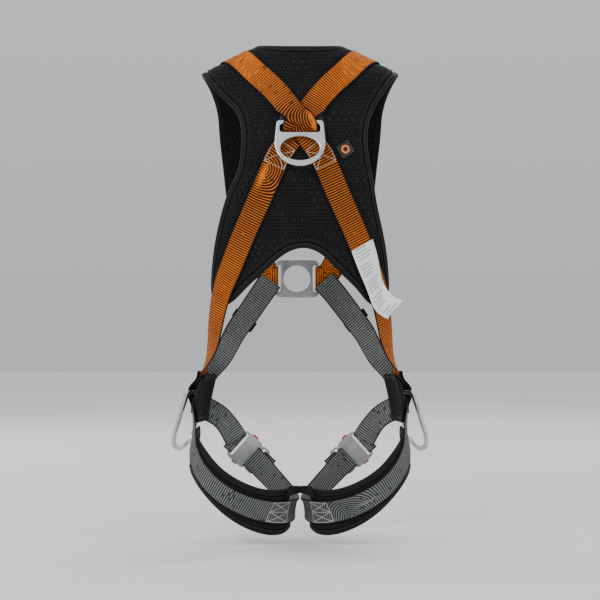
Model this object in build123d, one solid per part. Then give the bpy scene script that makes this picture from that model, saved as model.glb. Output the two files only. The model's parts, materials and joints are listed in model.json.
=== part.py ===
from build123d import *
from math import cos, radians, sin
import os
import numpy as np

# Full-body fall-arrest harness in the shape it takes when worn. Millimetres.
# The origin is the wearer's waist on the midline: +X is the wearer's right,
# +Y is forward, +Z is up. Side "right" is +X, side "left" is -X.

# ---------------------------------------------------------------- dimensions
WEB_WIDTH = 45.0
WEB_THICK = 1.8
PAD_IN = 1.0                # lift of a pad's inner face off the wearer
PAD_OUT = 8.0               # lift of a pad's outer face
ON_PAD = 9.3                # lift of webbing that runs on a pad
ON_BODY = 2.5               # lift of webbing that runs on the wearer

RING_THICK = 6.0
RING_BAR = 8.0              # height of the bar that the webbing runs over
BAR_ROOM = 5.4              # bar centre to the nearest fabric
DORSAL_HALF = 44.5          # half width of the dorsal ring
DORSAL_TOP_HALF = 41.0
DORSAL_HEIGHT = 87.0
DORSAL_SLOT = (70.0, 15.0)
DORSAL_EYE = (34.0, 22.5)
DORSAL_CROSS = 8.0          # height of the bar between the slot and the eye
DORSAL_Z = 383.0
DORSAL_TILT = 18.5
LEVEL_BETWEEN = (310.0, 430.0)   # heights between which webbing lies level at the ring
LEVEL_EASE = 25.0
LATERAL_HALF = 38.0
LATERAL_HEIGHT = 122.0
LATERAL_LIMB = 9.0
LATERAL_TILT = 20.0
LATERAL_AT = (181.0, 35.0, -98.0)

CHEST_PLATE = (88.0, 72.0, 6.0)
CHEST_HOLE_R = 25.0
CHEST_SLOT = (6.5, 50.0)
CHEST_SLOT_X = 33.75
CHEST_AT = (-6.0, 118.0, 113.0)

BUCKLE = (44.0, 60.0, 13.0)      # length along the strap, width, height
SOCKET = (30.0, 42.0, 5.0)       # depth, width, height
SOCKET_FLOOR = 4.0
SIDE_SLOT = (-7.0, 8.0)          # where the levers come out, along the strap
BODY_BAR = (6.0, 3.5, 8.5)       # bar of the fixed loop: depth, bottom, top
BAR_SPAN = 48.0                  # clear length of the buckle's bars
BLADE = (27.0, 38.0, 3.0)
TONGUE_GAP = 1.0                 # between the body and the tongue's flange
TONGUE_FLANGE = (19.0, 56.0, 4.0)
FLANGE_BAR = 8.0                 # depth of the tongue's bar
FLANGE_ROOT = 4.0                # metal between the blade and the tongue's slot
LEVER = (12.0, 10.0, 4.0)
LEVER_REACH = 3.0                # how far a lever stands out of the body
RIB = 1.0                        # width of the finger grooves
BUCKLE_AT = (104.0, 88.0, -208.0)

ADJUSTER = (38.0, 60.0, 6.0)     # length along the strap, width, height
ADJUSTER_WINDOW = (25.0, 48.0)
ADJUSTER_BAR = (8.0, 54.0, 2.6)
ADJUSTER_GROOVE = (20.0, 55.0, 3.0)
ADJUSTER_GRIP = (44.0, 1.3, 3.4)  # length, depth below and height above the bar's middle
ADJUSTER_AT = (91.0, 122.0, 212.0)

# ------------------------------------------------------------ wearer's form
# Rounded masses (centre, radii) and limbs (two ends, radius), melted together.
MASSES = [
    ((0, 6, 250), (196, 116, 250)),       # rib cage
    ((0, -18, 330), (168, 108, 170)),     # shoulder blades
    ((0, 8, 20), (165, 96, 260)),         # waist
    ((0, -6, -122), (184, 110, 138)),     # pelvis
    ((98, -46, -208), (84, 84, 100)),     # seat, right
    ((-98, -46, -208), (84, 84, 100)),    # seat, left
]
LIMBS = [
    ((0, -28, 440), (0, -14, 700), 60),          # neck
    ((52, -22, 474), (208, -6, 405), 53),        # shoulder, right
    ((-52, -22, 474), (-208, -6, 405), 53),      # shoulder, left
    ((106, -6, -235), (105, 4, -560), 84),       # thigh, right
    ((-106, -6, -235), (-105, 4, -560), 84),     # thigh, left
]
MELT = 34.0 / 3


def gap(points):
    """Distance from each point to the wearer's form."""
    points = np.asarray(points, float)
    gaps = []
    for centre, radii in MASSES:
        q = (points - centre) / radii
        k0 = np.linalg.norm(q, axis=-1)
        k1 = np.linalg.norm(q / radii, axis=-1)
        gaps.append(k0 * (k0 - 1) / k1)
    for start, end, radius in LIMBS:
        axis = np.subtract(end, start)
        t = np.clip((points - start) @ axis / (axis @ axis), 0, 1)
        gaps.append(np.linalg.norm(points - start - t[..., None] * axis, axis=-1) - radius)
    nearest = np.min(gaps, axis=0)
    return nearest - MELT * np.log(np.exp((nearest - gaps) / MELT).sum(axis=0))


def unit(v):
    return v / np.linalg.norm(v, axis=-1, keepdims=True)


def outward(points):
    """Unit normals of the wearer's form."""
    return unit(np.stack([gap(points + e) - gap(points - e) for e in np.eye(3)], -1))


def settle(points, lift):
    """Points moved along the form's normal to the given lift."""
    points = np.asarray(points, float)
    for _ in range(8):
        points = points + outward(points) * (lift - gap(points))[..., None]
    return points


def seat(point, lift, towards):
    """Plane on the form at a point: x towards a direction, z outward."""
    point = settle(point, lift)
    n = outward(point)
    t = np.subtract(towards, n * np.dot(towards, n))
    return Plane(origin=tuple(point), x_dir=tuple(unit(t)), z_dir=tuple(n))


def loft(wires):
    solid = Solid.make_loft(wires)
    return solid if solid.volume > 0 else Solid.make_loft(wires[::-1])


def closed_section(inner, outer):
    """Closed wire of an inner curve and an outer curve, joined at their ends."""
    inner = [tuple(p) for p in inner]
    outer = [tuple(p) for p in outer[::-1]]
    return Wire([Spline(*inner), Line(inner[-1], outer[0]),
                 Spline(*outer), Line(outer[-1], inner[0])])


def follow(row, aside, lift):
    """A row of points at a lift, kept in the plane that aside is normal to."""
    points = row
    for _ in range(4):
        points = settle(points, lift)
        points = points - aside * ((points - row[0]) @ aside)[:, None]
    return points


def across(a, b, low, high, count):
    """Flat section from a to b that follows the form, between two lifts."""
    aside = unit(np.cross(b - a, outward((a + b) / 2)))
    row = a + (b - a) * np.linspace(0, 1, count)[:, None]
    return closed_section(follow(row, aside, low), follow(row, aside, high))


def smooth_line(points, stations):
    """Places and directions on a spline through points, at fractions of its length."""
    line = Spline(*[tuple(p) for p in points])
    places = np.array([tuple(line @ u) for u in stations])
    ways = np.array([tuple(line % u) for u in stations])
    return places, ways


def fractions(points):
    steps = np.linalg.norm(np.diff(points, axis=0), axis=1)
    return np.concatenate([[0], np.cumsum(steps)]) / steps.sum()


def level_share(z):
    """1 where a strap's sections lie level, so that they fit over and under
    the dorsal ring's bars, 0 where they lie square to the strap."""
    low, high = LEVEL_BETWEEN
    return np.clip((high - z) / LEVEL_EASE, 0, 1) * np.clip((z - low) / LEVEL_EASE, 0, 1)


def strap(guides, width=WEB_WIDTH, thick=WEB_THICK, flat=False, level=False):
    """Webbing along guides (x, y, z, lift). It follows the form across its
    width, or lies flat across it where it bridges hardware."""
    guides = np.array(guides, float)
    lifts = guides[:, 3]
    points = np.array([settle(g[:3], g[3]) for g in guides])
    at = fractions(points)
    spans = len(guides) - 1
    stations = np.interp(np.linspace(0, spans, 3 * spans + 1), range(spans + 1), at)
    wires = []
    for place, way, lift in zip(*smooth_line(points, stations), np.interp(stations, at, lifts)):
        place = settle(place, lift)
        n = outward(place)
        n = unit(n - way * np.dot(n, way))
        side = unit(np.cross(way, n)) * width / 2
        if level:
            side = side - way * level_share(place[2]) * side[2] / way[2]
        if flat:
            up = n * thick
            corners = [place - side, place + side, place + side + up, place - side + up]
            wires.append(Wire(Polyline(*[tuple(c) for c in corners], close=True)))
        else:
            wires.append(across(place - side, place + side, lift, lift + thick, 3))
    return loft(wires)


def pad_between(rail_a, rail_b, low=PAD_IN, high=PAD_OUT, count=12):
    """Pad between two edge lines, each a list of points near the form."""
    stations = np.linspace(0, 1, count + 1)
    edge_a, _ = smooth_line(settle(rail_a, low), stations)
    edge_b, _ = smooth_line(settle(rail_b, low), stations)
    return loft([across(a, b, low, high, 6) for a, b in zip(edge_a, edge_b)])


def mirrored(points, side):
    """Points given for the right side, moved to side +1 or -1."""
    return [(side * p[0], *p[1:]) for p in points]


# ------------------------------------------------------------------ back pad
# Half width of the back pad against height; above SEAM_LOW its edge is the
# seam with the shoulder pads. The armholes sit a little to the right.
SEAM_LOW = 405.0
SEAM_TOP = 522.0
HALF_WIDTH = [(60, 139), (75, 153), (91, 156), (125, 155), (162, 151), (215, 140), (250, 131),
              (280, 122), (301, 115), (335, 109), (363, 108), (390, 112), (SEAM_LOW, 118),
              (440, 102), (480, 79), (SEAM_TOP, 56)]
ARCH = [(-150, 30), (-126, 66), (-94, 96), (-61, 126), (-32, 152), (0, 166), (12, 166),
        (44, 150), (66, 127), (102, 91), (125, 66), (150, 30)]


def armhole_shift(z):
    return 8.0 * np.clip((z - 240) / 60, 0, 1) * np.clip((540 - z) / 80, 0, 1)


def behind(x, z, lift):
    """Points over the wearer's back, found by moving forward from behind."""
    x = np.asarray(x, float)
    points = np.stack([x, np.full_like(x, -400.0), np.full_like(x, z)], -1)
    for _ in range(80):
        points[..., 1] += (gap(points) - lift) * 0.9
    return points


def back_pad():
    heights, halves = zip(*HALF_WIDTH)
    wires = []
    for z in np.linspace(heights[0], SEAM_TOP, 21):
        half = np.interp(z, heights, halves)
        xs = armhole_shift(z) + np.linspace(-half, half, 9)
        wires.append(closed_section(behind(xs, z, PAD_IN), behind(xs, z, PAD_OUT)))
    body = loft(wires)
    arch = Wire([Spline(*[(x, 0, z) for x, z in ARCH]), Line((150, 0, 30), (-150, 0, 30))])
    cut = extrude(Face(arch), amount=400, both=True)
    return body - cut


def shoulder_pad(side):
    shift = armhole_shift(SEAM_LOW) * side
    neck_rail = [(76 + max(shift, 0), -62, 527), (82, -18, 528), (86, 25, 500), (86, 70, 455),
                 (84, 95, 400), (82, 112, 320), (76, 118, 251)]
    arm_rail = [(129, -95, 407), (156, -64, 452), (176, -12, 476), (165, 40, 460), (158, 72, 415),
                (150, 90, 330), (138, 98, 251)]
    arm_rail = [(x + shift * np.clip(-y / 60, 0, 1), y, z) for x, y, z in arm_rail]
    return pad_between(mirrored(neck_rail, side), mirrored(arm_rail, side), count=16)


# ------------------------------------------------------------------- webbing
# Each shoulder strap starts at its front adjuster, runs over the shoulder pad,
# crosses the other strap over the dorsal ring's top bar, dips through the
# ring's slot behind the cross bar and runs down to the opposite hip.
BAR_LIFT = PAD_OUT + BAR_ROOM + 0.3
UNDER_LIFT = BAR_LIFT + BAR_ROOM + 0.6
OVER_LIFT = UNDER_LIFT + WEB_THICK + 1.9
BEHIND = ON_PAD - 0.6       # lift of the lower strap behind the cross bar
TOP_RISE = 2.7              # how far the top strap rides above the lower one
PAST_BAR = {True: 0.6, False: -0.2}  # the top and the lower strap part, just past the bar
SECOND = ON_PAD + TOP_RISE  # lift of the second layer of webbing at the hips


def shoulder_webbing(side):
    """side is the shoulder it comes from; the left one lies on top."""
    top = side < 0
    over = OVER_LIFT if top else UNDER_LIFT
    rise = TOP_RISE if top else 0.0
    past = BEHIND + rise + PAST_BAR[top]
    return strap(mirrored([
        (101, 120, 237, ON_PAD - 1.8), (105, 118, 252, ON_PAD), (114, 108, 300, ON_PAD),
        (119, 92, 390, ON_PAD), (120, 55, 460, ON_PAD), (119, -14, 500, ON_PAD),
        (102, -62, 500, ON_PAD), (82, -86, 480, ON_PAD), (60, -104, 459, ON_PAD),
        (30, -123, 424, 11.4 + rise), (15, -130, 405, 15.4 + rise), (2, -135, 391, over),
        (-5, -136, 378.5, over), (-11, -137, 366, past), (-18, -138, 354, BEHIND + rise),
        (-27, -138, 341, ON_PAD + rise), (-37, -138, 326, ON_PAD + rise),
        (-51, -136, 298, ON_PAD),
        (-65, -128, 265, ON_PAD), (-97, -108, 196, ON_PAD), (-126, -82, 128, ON_PAD),
        (-143, -62, 88, ON_PAD), (-157, -46, 37, ON_PAD - 2), (-167, -32, 1, ON_BODY + 1),
        (-177, -8, -30, ON_BODY + 2), (-182, 16, -58, ON_PAD), (-184, 30, -98, ON_PAD)], side),
        level=True)


def at_chest(points, side):
    """Mirrored guides, moved with the chest ring at the end nearest to it."""
    reach = np.linspace(0, 1, len(points)) ** 2
    moved = mirrored(points, side)
    return [(p[0] + CHEST_AT[0] * r, *p[1:]) for p, r in zip(moved, reach)]


def torso_webbing(side):
    return strap(at_chest([
        (181, 42, -92, SECOND), (172, 54, -62, SECOND), (158, 70, -34, ON_BODY + 1),
        (133, 88, 6, ON_BODY), (105, 100, 42, ON_BODY), (84, 110, 70, ON_BODY + 1),
        (64, 114, 94, ON_BODY + 1)], side))


def chest_webbing(side):
    return strap(at_chest([
        (90, 122, 208, ON_BODY), (84, 122, 186, ON_BODY), (76, 122, 158, ON_BODY + 2),
        (64, 118, 131, ON_BODY + 3.4)], side))


def leg_webbing(side):
    return strap(mirrored([
        (190, 22, -120, ON_PAD), (195, -8, -140, ON_PAD), (193, -50, -178, ON_PAD),
        (182, -88, -217, ON_PAD), (165, -105, -241, ON_PAD), (128, -118, -272, ON_PAD),
        (90, -115, -292, ON_PAD), (52, -93, -303, ON_PAD), (24, -52, -306, ON_PAD),
        (14, -10, -302, ON_PAD), (20, 34, -290, ON_PAD - 2), (44, 72, -264, ON_BODY),
        (68, 84, -242, ON_BODY), (92, 88, -220, ON_BODY)], side))


def leg_front_webbing(side):
    return strap(mirrored([
        (186, 44, -121, SECOND), (176, 58, -130, SECOND), (160, 70, -142, ON_BODY + 3),
        (140, 80, -164, ON_BODY), (122, 86, -188, ON_BODY)], side))


def leg_pad(side):
    top = [(198, 4, -158), (196, -40, -166), (172, -100, -190), (141, -127, -222),
           (104, -134, -246), (63, -120, -262), (30, -90, -266), (10, -62, -270)]
    bottom = [(189, 10, -240), (190, -36, -242), (174, -80, -274), (143, -95, -304),
              (109, -99, -325), (63, -87, -343), (28, -52, -346), (19, -20, -338)]
    return pad_between(mirrored(top, side), mirrored(bottom, side), count=16)


def hip_pad(side):
    front = [(172, 62, -62), (180, 62, -100), (186, 50, -150)]
    back = [(184, -2, -62), (190, -10, -100), (196, -16, -150)]
    return pad_between(mirrored(front, side), mirrored(back, side), count=5)


def lateral_loop(side):
    """Webbing bridge over the lateral ring's bar, sewn down above and below."""
    low = SECOND + WEB_THICK + 1.4
    high = lateral_lift() + BAR_ROOM
    x, y, z = LATERAL_AT
    guides = [(x - 3, y, z + 40, low), (x - 2, y, z + 24, low), (x - 1, y, z + 9, high - 2),
              (x, y, z, high), (x + 2, y, z - 9, high - 2), (x + 4, y, z - 24, low),
              (x + 6, y, z - 38, low)]
    return strap(mirrored(guides, side), flat=True)


# --------------------------------------------------------------------- rings
def lateral_lift():
    return SECOND + WEB_THICK + BAR_ROOM + 0.8


def rounded_edges(solid, radius):
    return fillet(solid.edges(), radius)


def ring_frame(point, out, tilt):
    """Plane of a hanging ring: y up the ring, z away from the wearer."""
    out = unit(np.array([out[0], out[1], 0.0]))
    up = np.array([0, 0, 1.0]) * cos(radians(tilt)) - out * sin(radians(tilt))
    across_dir = np.cross(up, out)
    z_dir = np.cross(unit(across_dir), up)
    return Plane(origin=tuple(point), x_dir=tuple(unit(across_dir)), z_dir=tuple(z_dir))


def d_outline(half, top_half, height, inset=0.0):
    """D shape with its straight bar centred on y = 0."""
    radius = half - inset
    centre = -(height - RING_BAR / 2 - half)
    top = RING_BAR / 2 - (RING_BAR if inset else 0)
    width = top_half - inset
    edge = [
        Line((-width, top), (width, top)),
        Line((width, top), (radius, centre)),
        RadiusArc((radius, centre), (-radius, centre), radius),
        Line((-radius, centre), (-width, top)),
    ]
    face = Face(Wire(edge))
    corners = face.vertices().sort_by(Axis.Y)[-2:]
    return fillet(corners, 7.0 if not inset else 6.0)


def dorsal_frame():
    point = behind(0, DORSAL_Z, BAR_LIFT)
    return ring_frame(point, (0, -1), DORSAL_TILT)


def dorsal_ring():
    outline = d_outline(DORSAL_HALF, DORSAL_TOP_HALF, DORSAL_HEIGHT)
    slot_y = -RING_BAR / 2 - DORSAL_SLOT[1] / 2
    eye_y = slot_y - DORSAL_SLOT[1] / 2 - DORSAL_CROSS - DORSAL_EYE[1]
    outline -= Pos(0, slot_y) * RectangleRounded(*DORSAL_SLOT, 5.0)
    outline -= Pos(0, eye_y) * Ellipse(*DORSAL_EYE)
    ring = extrude(outline, amount=RING_THICK / 2, both=True)
    return dorsal_frame() * rounded_edges(ring, 1.7)


def lateral_frame(side):
    point = settle((side * LATERAL_AT[0], *LATERAL_AT[1:]), lateral_lift())
    return ring_frame(point, outward(point)[:2], LATERAL_TILT)


def lateral_ring(side):
    outline = d_outline(LATERAL_HALF, LATERAL_HALF, LATERAL_HEIGHT)
    outline -= d_outline(LATERAL_HALF, LATERAL_HALF, LATERAL_HEIGHT, LATERAL_LIMB)
    ring = extrude(outline, amount=RING_THICK / 2, both=True)
    return lateral_frame(side) * rounded_edges(ring, 1.8)


def chest_frame():
    return seat(CHEST_AT, ON_BODY + 6.5, (1, 0, 0))


def chest_ring():
    width, height, thick = CHEST_PLATE
    outline = RectangleRounded(width, height, 14.0)
    outline -= Circle(CHEST_HOLE_R)
    for side in (-1, 1):
        outline -= Pos(side * CHEST_SLOT_X, 0) * RectangleRounded(*CHEST_SLOT, 3.0)
    plate = extrude(outline, amount=thick / 2, both=True)
    return chest_frame() * rounded_edges(plate, 1.0)


# ----------------------------------------------------------- sewn bar loops
def bar_loop(x0, x1, z0, z1, tail, width=WEB_WIDTH, clear=0.5):
    """Webbing wrapped round a bar (x0..x1, z0..z1), with a sewn tail beyond x1."""
    low, high = min(x0, x1) - clear, max(x0, x1) + clear
    inner = Pos((low + high) / 2, (z0 + z1) / 2) * Rectangle(high - low, z1 - z0 + 2 * clear)
    outer = Pos((low + high) / 2, (z0 + z1) / 2) * RectangleRounded(
        high - low + 2 * WEB_THICK, z1 - z0 + 2 * (clear + WEB_THICK), 2.0)
    way = 1 if x1 > x0 else -1
    start = (high if way > 0 else low) + way * WEB_THICK / 2
    tab = Pos(start + way * tail / 2, z0 - clear - WEB_THICK / 2) * Rectangle(tail, WEB_THICK)
    return extrude(Plane.XZ * (outer - inner + tab), amount=width / 2, both=True)


def chest_loop(side):
    bar_in = CHEST_SLOT_X + CHEST_SLOT[0] / 2
    half = CHEST_PLATE[2] / 2
    return chest_frame() * bar_loop(side * (bar_in + 0.2), side * CHEST_PLATE[0] / 2, -half, half, 16.0)


# ------------------------------------------------------------------- buckles
def buckle_frame(side):
    """Seat of a leg buckle: x runs down to the crotch, z outward."""
    at = (side * BUCKLE_AT[0], *BUCKLE_AT[1:])
    return seat(at, ON_BODY + WEB_THICK + 3.0, (-side * 45, -6, -40))


def block(x0, x1, y0, y1, z0, z1):
    size = (x1 - x0, y1 - y0, z1 - z0)
    return Pos((x0 + x1) / 2, (y0 + y1) / 2, (z0 + z1) / 2) * Box(*size)


def buckle_body(side):
    length, width, height = BUCKLE
    depth, mouth, tall = SOCKET
    solid = extrude(RectangleRounded(length, width, 9.0), amount=height)
    solid = fillet(solid.edges().group_by(Axis.Z)[-1], 2.5)
    solid -= block(length / 2 - depth, length / 2 + 1, -mouth / 2, mouth / 2,
                   SOCKET_FLOOR, SOCKET_FLOOR + tall)
    solid -= block(*SIDE_SLOT, -width, width, SOCKET_FLOOR, SOCKET_FLOOR + tall)
    deep, bar_low, bar_high = BODY_BAR
    start, half = -length / 2, BAR_SPAN / 2
    solid -= block(start + deep - 1, start + deep + 5, -half, half, -1, height + 1)
    solid -= block(start - 1, start + deep, -half, half, bar_high, height + 1)
    solid -= block(start - 1, start + deep, -half, half, -1, bar_low)
    return buckle_frame(side) * solid


def buckle_tongue(side):
    length = BUCKLE[0]
    depth, wide, thick = BLADE
    run, flange_wide, flange_thick = TONGUE_FLANGE
    low = SOCKET_FLOOR + (SOCKET[2] - thick) / 2
    start = length / 2 + TONGUE_GAP
    blade = block(start - depth - 1.0, start + 1, -wide / 2, wide / 2, low, low + thick)
    blade = fillet(blade.edges().filter_by(Axis.Z).group_by(Axis.X)[0], 5.0)
    mid = low + thick / 2
    flange = Pos(start + run / 2, 0, mid - flange_thick / 2) * extrude(
        RectangleRounded(run, flange_wide, 5.0), amount=flange_thick)
    half = BAR_SPAN / 2
    flange -= block(start + FLANGE_ROOT, start + run - FLANGE_BAR, -half, half, 0, mid + thick)
    return buckle_frame(side) * (blade + flange)


def tongue_loop(side):
    """Webbing loop sewn round the tongue's outer bar, which travels with it."""
    run, _, thick = TONGUE_FLANGE
    mid = SOCKET_FLOOR + SOCKET[2] / 2
    end = BUCKLE[0] / 2 + TONGUE_GAP + run
    return buckle_frame(side) * bar_loop(end - FLANGE_BAR, end, mid - thick / 2, mid + thick / 2, 16.0)


def body_loop(side):
    """Webbing loop sewn round the buckle body's bar."""
    end = -BUCKLE[0] / 2
    deep, low, high = BODY_BAR
    return buckle_frame(side) * bar_loop(end + deep - 1, end, low, high, 10.0, clear=0.4)


def buckle_lever(side, edge):
    length, wide, thick = LEVER
    low = SOCKET_FLOOR + (SOCKET[2] - thick) / 2
    inner = BUCKLE[1] / 2 - wide + LEVER_REACH
    body = block(-length / 2 + 0.5, length / 2 + 0.5, inner, inner + wide, low, low + thick)
    body = fillet(body.edges().filter_by(Axis.Z).group_by(Axis.Y)[-1], 2.0)
    for x in (-3.0, 0.5, 4.0):
        body -= block(x - RIB / 2, x + RIB / 2, inner + wide - 0.6, inner + wide + 1,
                      low - 1, low + thick + 1)
    return buckle_frame(side) * (body if edge > 0 else mirror(body, Plane.XZ))


# ----------------------------------------------------------------- adjusters
def adjuster_frame(side):
    """Seat of a shoulder adjuster: x runs down the strap, z outward."""
    at = (side * ADJUSTER_AT[0], *ADJUSTER_AT[1:])
    return seat(at, ON_BODY + WEB_THICK + 1.0, (-side * 13, 0, -33))


def adjuster_body(side):
    length, width, height = ADJUSTER
    solid = extrude(RectangleRounded(length, width, 5.0), amount=height)
    solid = fillet(solid.edges().group_by(Axis.Z)[-1], 1.2)
    window = ADJUSTER_WINDOW
    solid -= block(-window[0] / 2, window[0] / 2, -window[1] / 2, window[1] / 2, -1, height + 1)
    run, reach, tall = ADJUSTER_GROOVE
    mid = height / 2
    solid -= block(-run / 2, run / 2, -reach / 2, reach / 2, mid - tall / 2, mid + tall / 2)
    return adjuster_frame(side) * solid


def adjuster_bar(side):
    depth, reach, thick = ADJUSTER_BAR
    mid = ADJUSTER[2] / 2
    bar = block(-depth / 2, depth / 2, -reach / 2, reach / 2, mid - thick / 2, mid + thick / 2)
    long, below, above = ADJUSTER_GRIP
    grip = block(-depth / 2, depth / 2, -long / 2, long / 2, mid - below, mid + above)
    for x in (-2.4, 0.0, 2.4):
        grip -= block(x - RIB / 2, x + RIB / 2, -long, long, mid + above - 0.6, mid + above + 1)
    return adjuster_frame(side) * (bar + grip)


def adjuster_loop(side):
    """Webbing loop round the adjuster's upper bar."""
    length, _, height = ADJUSTER
    inner = -ADJUSTER_WINDOW[0] / 2
    return adjuster_frame(side) * bar_loop(inner - 0.1, -length / 2, 0, height, 8.0, clear=0.4)


def adjuster_tail(side):
    """Loose end that comes out over the adjuster's lower bar."""
    above = ON_BODY + WEB_THICK + 1.0 + ADJUSTER[2] + 1.2
    return strap(mirrored([
        (88, 122, 202, above), (84, 122, 188, above), (79, 122, 168, above - 5),
        (74, 120, 150, ON_BODY + 8)], side), flat=True)


def leg_tail(side):
    """Loose end of the leg webbing, folded back over itself below the tongue."""
    return strap(mirrored([
        (48, 76, -262, ON_BODY + 4), (34, 60, -276, ON_BODY + 5), (26, 44, -287, ON_BODY + 8)],
        side))


def tail_keeper(side):
    """Elastic keeper round the torso webbing."""
    over = ON_BODY + WEB_THICK + 1.2
    guides = [(104, 100, 43, over), (110, 98, 35, over), (116, 96, 28, over)]
    return strap(mirrored(guides, side), width=WEB_WIDTH + 6, thick=2.0)


# --------------------------------------------------------------- small pieces
def dorsal_keeper():
    """Flexible plate under the crossing that keeps the two straps together."""
    bottom = [(x, -135, DORSAL_Z + 7) for x in (-36, -12, 14, 42)]
    top = [(x, -125, DORSAL_Z + 36) for x in (-34, -12, 14, 38)]
    return pad_between(bottom, top, PAD_OUT + 0.6, PAD_OUT + 2.2, count=4)


def badge_tab():
    """Sewn badge with a plain raised ring."""
    plate = extrude(RectangleRounded(26, 24, 2.5), amount=1.4)
    ring = Pos(0, 0, 1.4) * extrude(Circle(7.5) - Circle(4.6), amount=0.8)
    return seat(behind(79, 337, PAD_OUT), PAD_OUT + 0.5, (0.87, 0, 0.5)) * (plate + ring)


def inspection_label():
    over = ON_PAD + WEB_THICK + 1.2
    return strap([(107, -100, 172, over), (118, -90, 148, over), (130, -76, 118, over + 1),
                  (141, -64, 90, over + 3), (150, -54, 62, over + 6)],
                 width=42.0, thick=1.0, flat=True)


def crotch_bridge():
    """Short band that ties the two leg pads together."""
    over = PAD_OUT + 1.8
    return strap([(-24, -84, -266, over), (0, -66, -268, over), (24, -84, -266, over)],
                 width=22.0, thick=2.6)


# -------------------------------------------------------------------- export
SIDES = {"left": -1, "right": 1}
PAIRS = {
    "shoulder_pad": shoulder_pad, "shoulder_webbing": shoulder_webbing,
    "chest_webbing": chest_webbing, "torso_webbing": torso_webbing,
    "chest_loop": chest_loop, "adjuster_frame": adjuster_body, "adjuster_bar": adjuster_bar,
    "adjuster_loop": adjuster_loop, "adjuster_tail": adjuster_tail, "tail_keeper": tail_keeper,
    "hip_pad": hip_pad, "lateral_loop": lateral_loop, "lateral_ring": lateral_ring,
    "leg_pad": leg_pad, "leg_webbing": leg_webbing, "leg_front_webbing": leg_front_webbing,
    "leg_tail": leg_tail, "leg_buckle_body": buckle_body, "leg_buckle_tongue": buckle_tongue,
    "leg_tongue_loop": tongue_loop, "leg_body_loop": body_loop,
}
SINGLES = {
    "back_pad": back_pad, "dorsal_ring": dorsal_ring, "dorsal_keeper": dorsal_keeper,
    "badge_tab": badge_tab, "inspection_label": inspection_label, "chest_ring": chest_ring,
    "crotch_bridge": crotch_bridge,
}

os.makedirs("parts", exist_ok=True)
nodes = {name: make() for name, make in SINGLES.items()}
for name, make in PAIRS.items():
    for word, side in SIDES.items():
        nodes[f"{name}_{word}"] = make(side)
for word, side in SIDES.items():
    for edge_word, edge in (("upper", 1), ("lower", -1)):
        nodes[f"leg_lever_{edge_word}_{word}"] = buckle_lever(side, edge)
for name, shape in nodes.items():
    export_step(shape, f"parts/{name}.step")
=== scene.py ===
import json

import bmesh
import bpy
import numpy as np
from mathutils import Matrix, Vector, kdtree

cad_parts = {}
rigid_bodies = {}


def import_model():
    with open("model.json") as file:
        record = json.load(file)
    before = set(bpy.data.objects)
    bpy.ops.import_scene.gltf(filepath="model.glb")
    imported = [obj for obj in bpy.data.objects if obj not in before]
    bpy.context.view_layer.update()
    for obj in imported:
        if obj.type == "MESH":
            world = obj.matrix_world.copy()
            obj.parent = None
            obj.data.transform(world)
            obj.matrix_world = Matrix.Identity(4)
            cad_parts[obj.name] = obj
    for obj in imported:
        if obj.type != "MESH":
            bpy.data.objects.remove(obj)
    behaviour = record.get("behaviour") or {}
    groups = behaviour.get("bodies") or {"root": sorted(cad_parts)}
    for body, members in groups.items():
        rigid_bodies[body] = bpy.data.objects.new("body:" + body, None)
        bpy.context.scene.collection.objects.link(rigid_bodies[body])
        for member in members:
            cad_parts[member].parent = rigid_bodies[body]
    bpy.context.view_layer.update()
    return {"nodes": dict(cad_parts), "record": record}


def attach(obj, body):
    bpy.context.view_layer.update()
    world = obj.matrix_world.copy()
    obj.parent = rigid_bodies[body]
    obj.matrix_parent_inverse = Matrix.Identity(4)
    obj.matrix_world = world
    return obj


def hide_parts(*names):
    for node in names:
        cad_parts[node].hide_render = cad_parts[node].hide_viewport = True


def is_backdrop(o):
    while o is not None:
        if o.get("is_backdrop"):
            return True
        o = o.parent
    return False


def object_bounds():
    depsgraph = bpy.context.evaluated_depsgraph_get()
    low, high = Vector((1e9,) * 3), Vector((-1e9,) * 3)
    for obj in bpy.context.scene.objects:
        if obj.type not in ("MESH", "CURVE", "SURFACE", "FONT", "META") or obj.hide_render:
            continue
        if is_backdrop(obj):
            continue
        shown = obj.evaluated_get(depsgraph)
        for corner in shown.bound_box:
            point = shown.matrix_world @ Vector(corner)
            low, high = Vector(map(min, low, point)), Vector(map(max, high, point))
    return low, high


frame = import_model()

# The looks of a worn full-body harness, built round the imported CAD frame.
# Lengths are millimetres here and become metres where a mesh is made.
MM = 0.001
ROOT = "harness"
SIDES = {"left": -1, "right": 1}

WEB_WIDTH = 45.0
WEB_THICK = 1.8
TRUNK_PITCH, LEG_PITCH, LOOP_PITCH = 4.4, 4.2, 4.3     # of the woven lines
HEM = 19.0                  # half length of a row of stitches across webbing
PAD_IN = 1.0
PAD_OUT = 8.0
ON_PAD = 9.3
ON_BODY = 2.5
TOP_RISE = 2.7
SECOND = ON_PAD + TOP_RISE
BEHIND = ON_PAD - 0.6
BAR_ROOM = 5.4
BAR_LIFT = PAD_OUT + BAR_ROOM + 0.3
UNDER_LIFT = BAR_LIFT + BAR_ROOM + 0.6
OVER_LIFT = UNDER_LIFT + WEB_THICK + 1.9
LATERAL_LIFT = SECOND + WEB_THICK + BAR_ROOM + 0.8
LATERAL_AT = (181, 35, -98)
CHEST_AT = (-6, 118, 113)
ADJUSTER_AT = (91, 122, 212)
BUCKLE_AT = (104, 88, -208)

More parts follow.
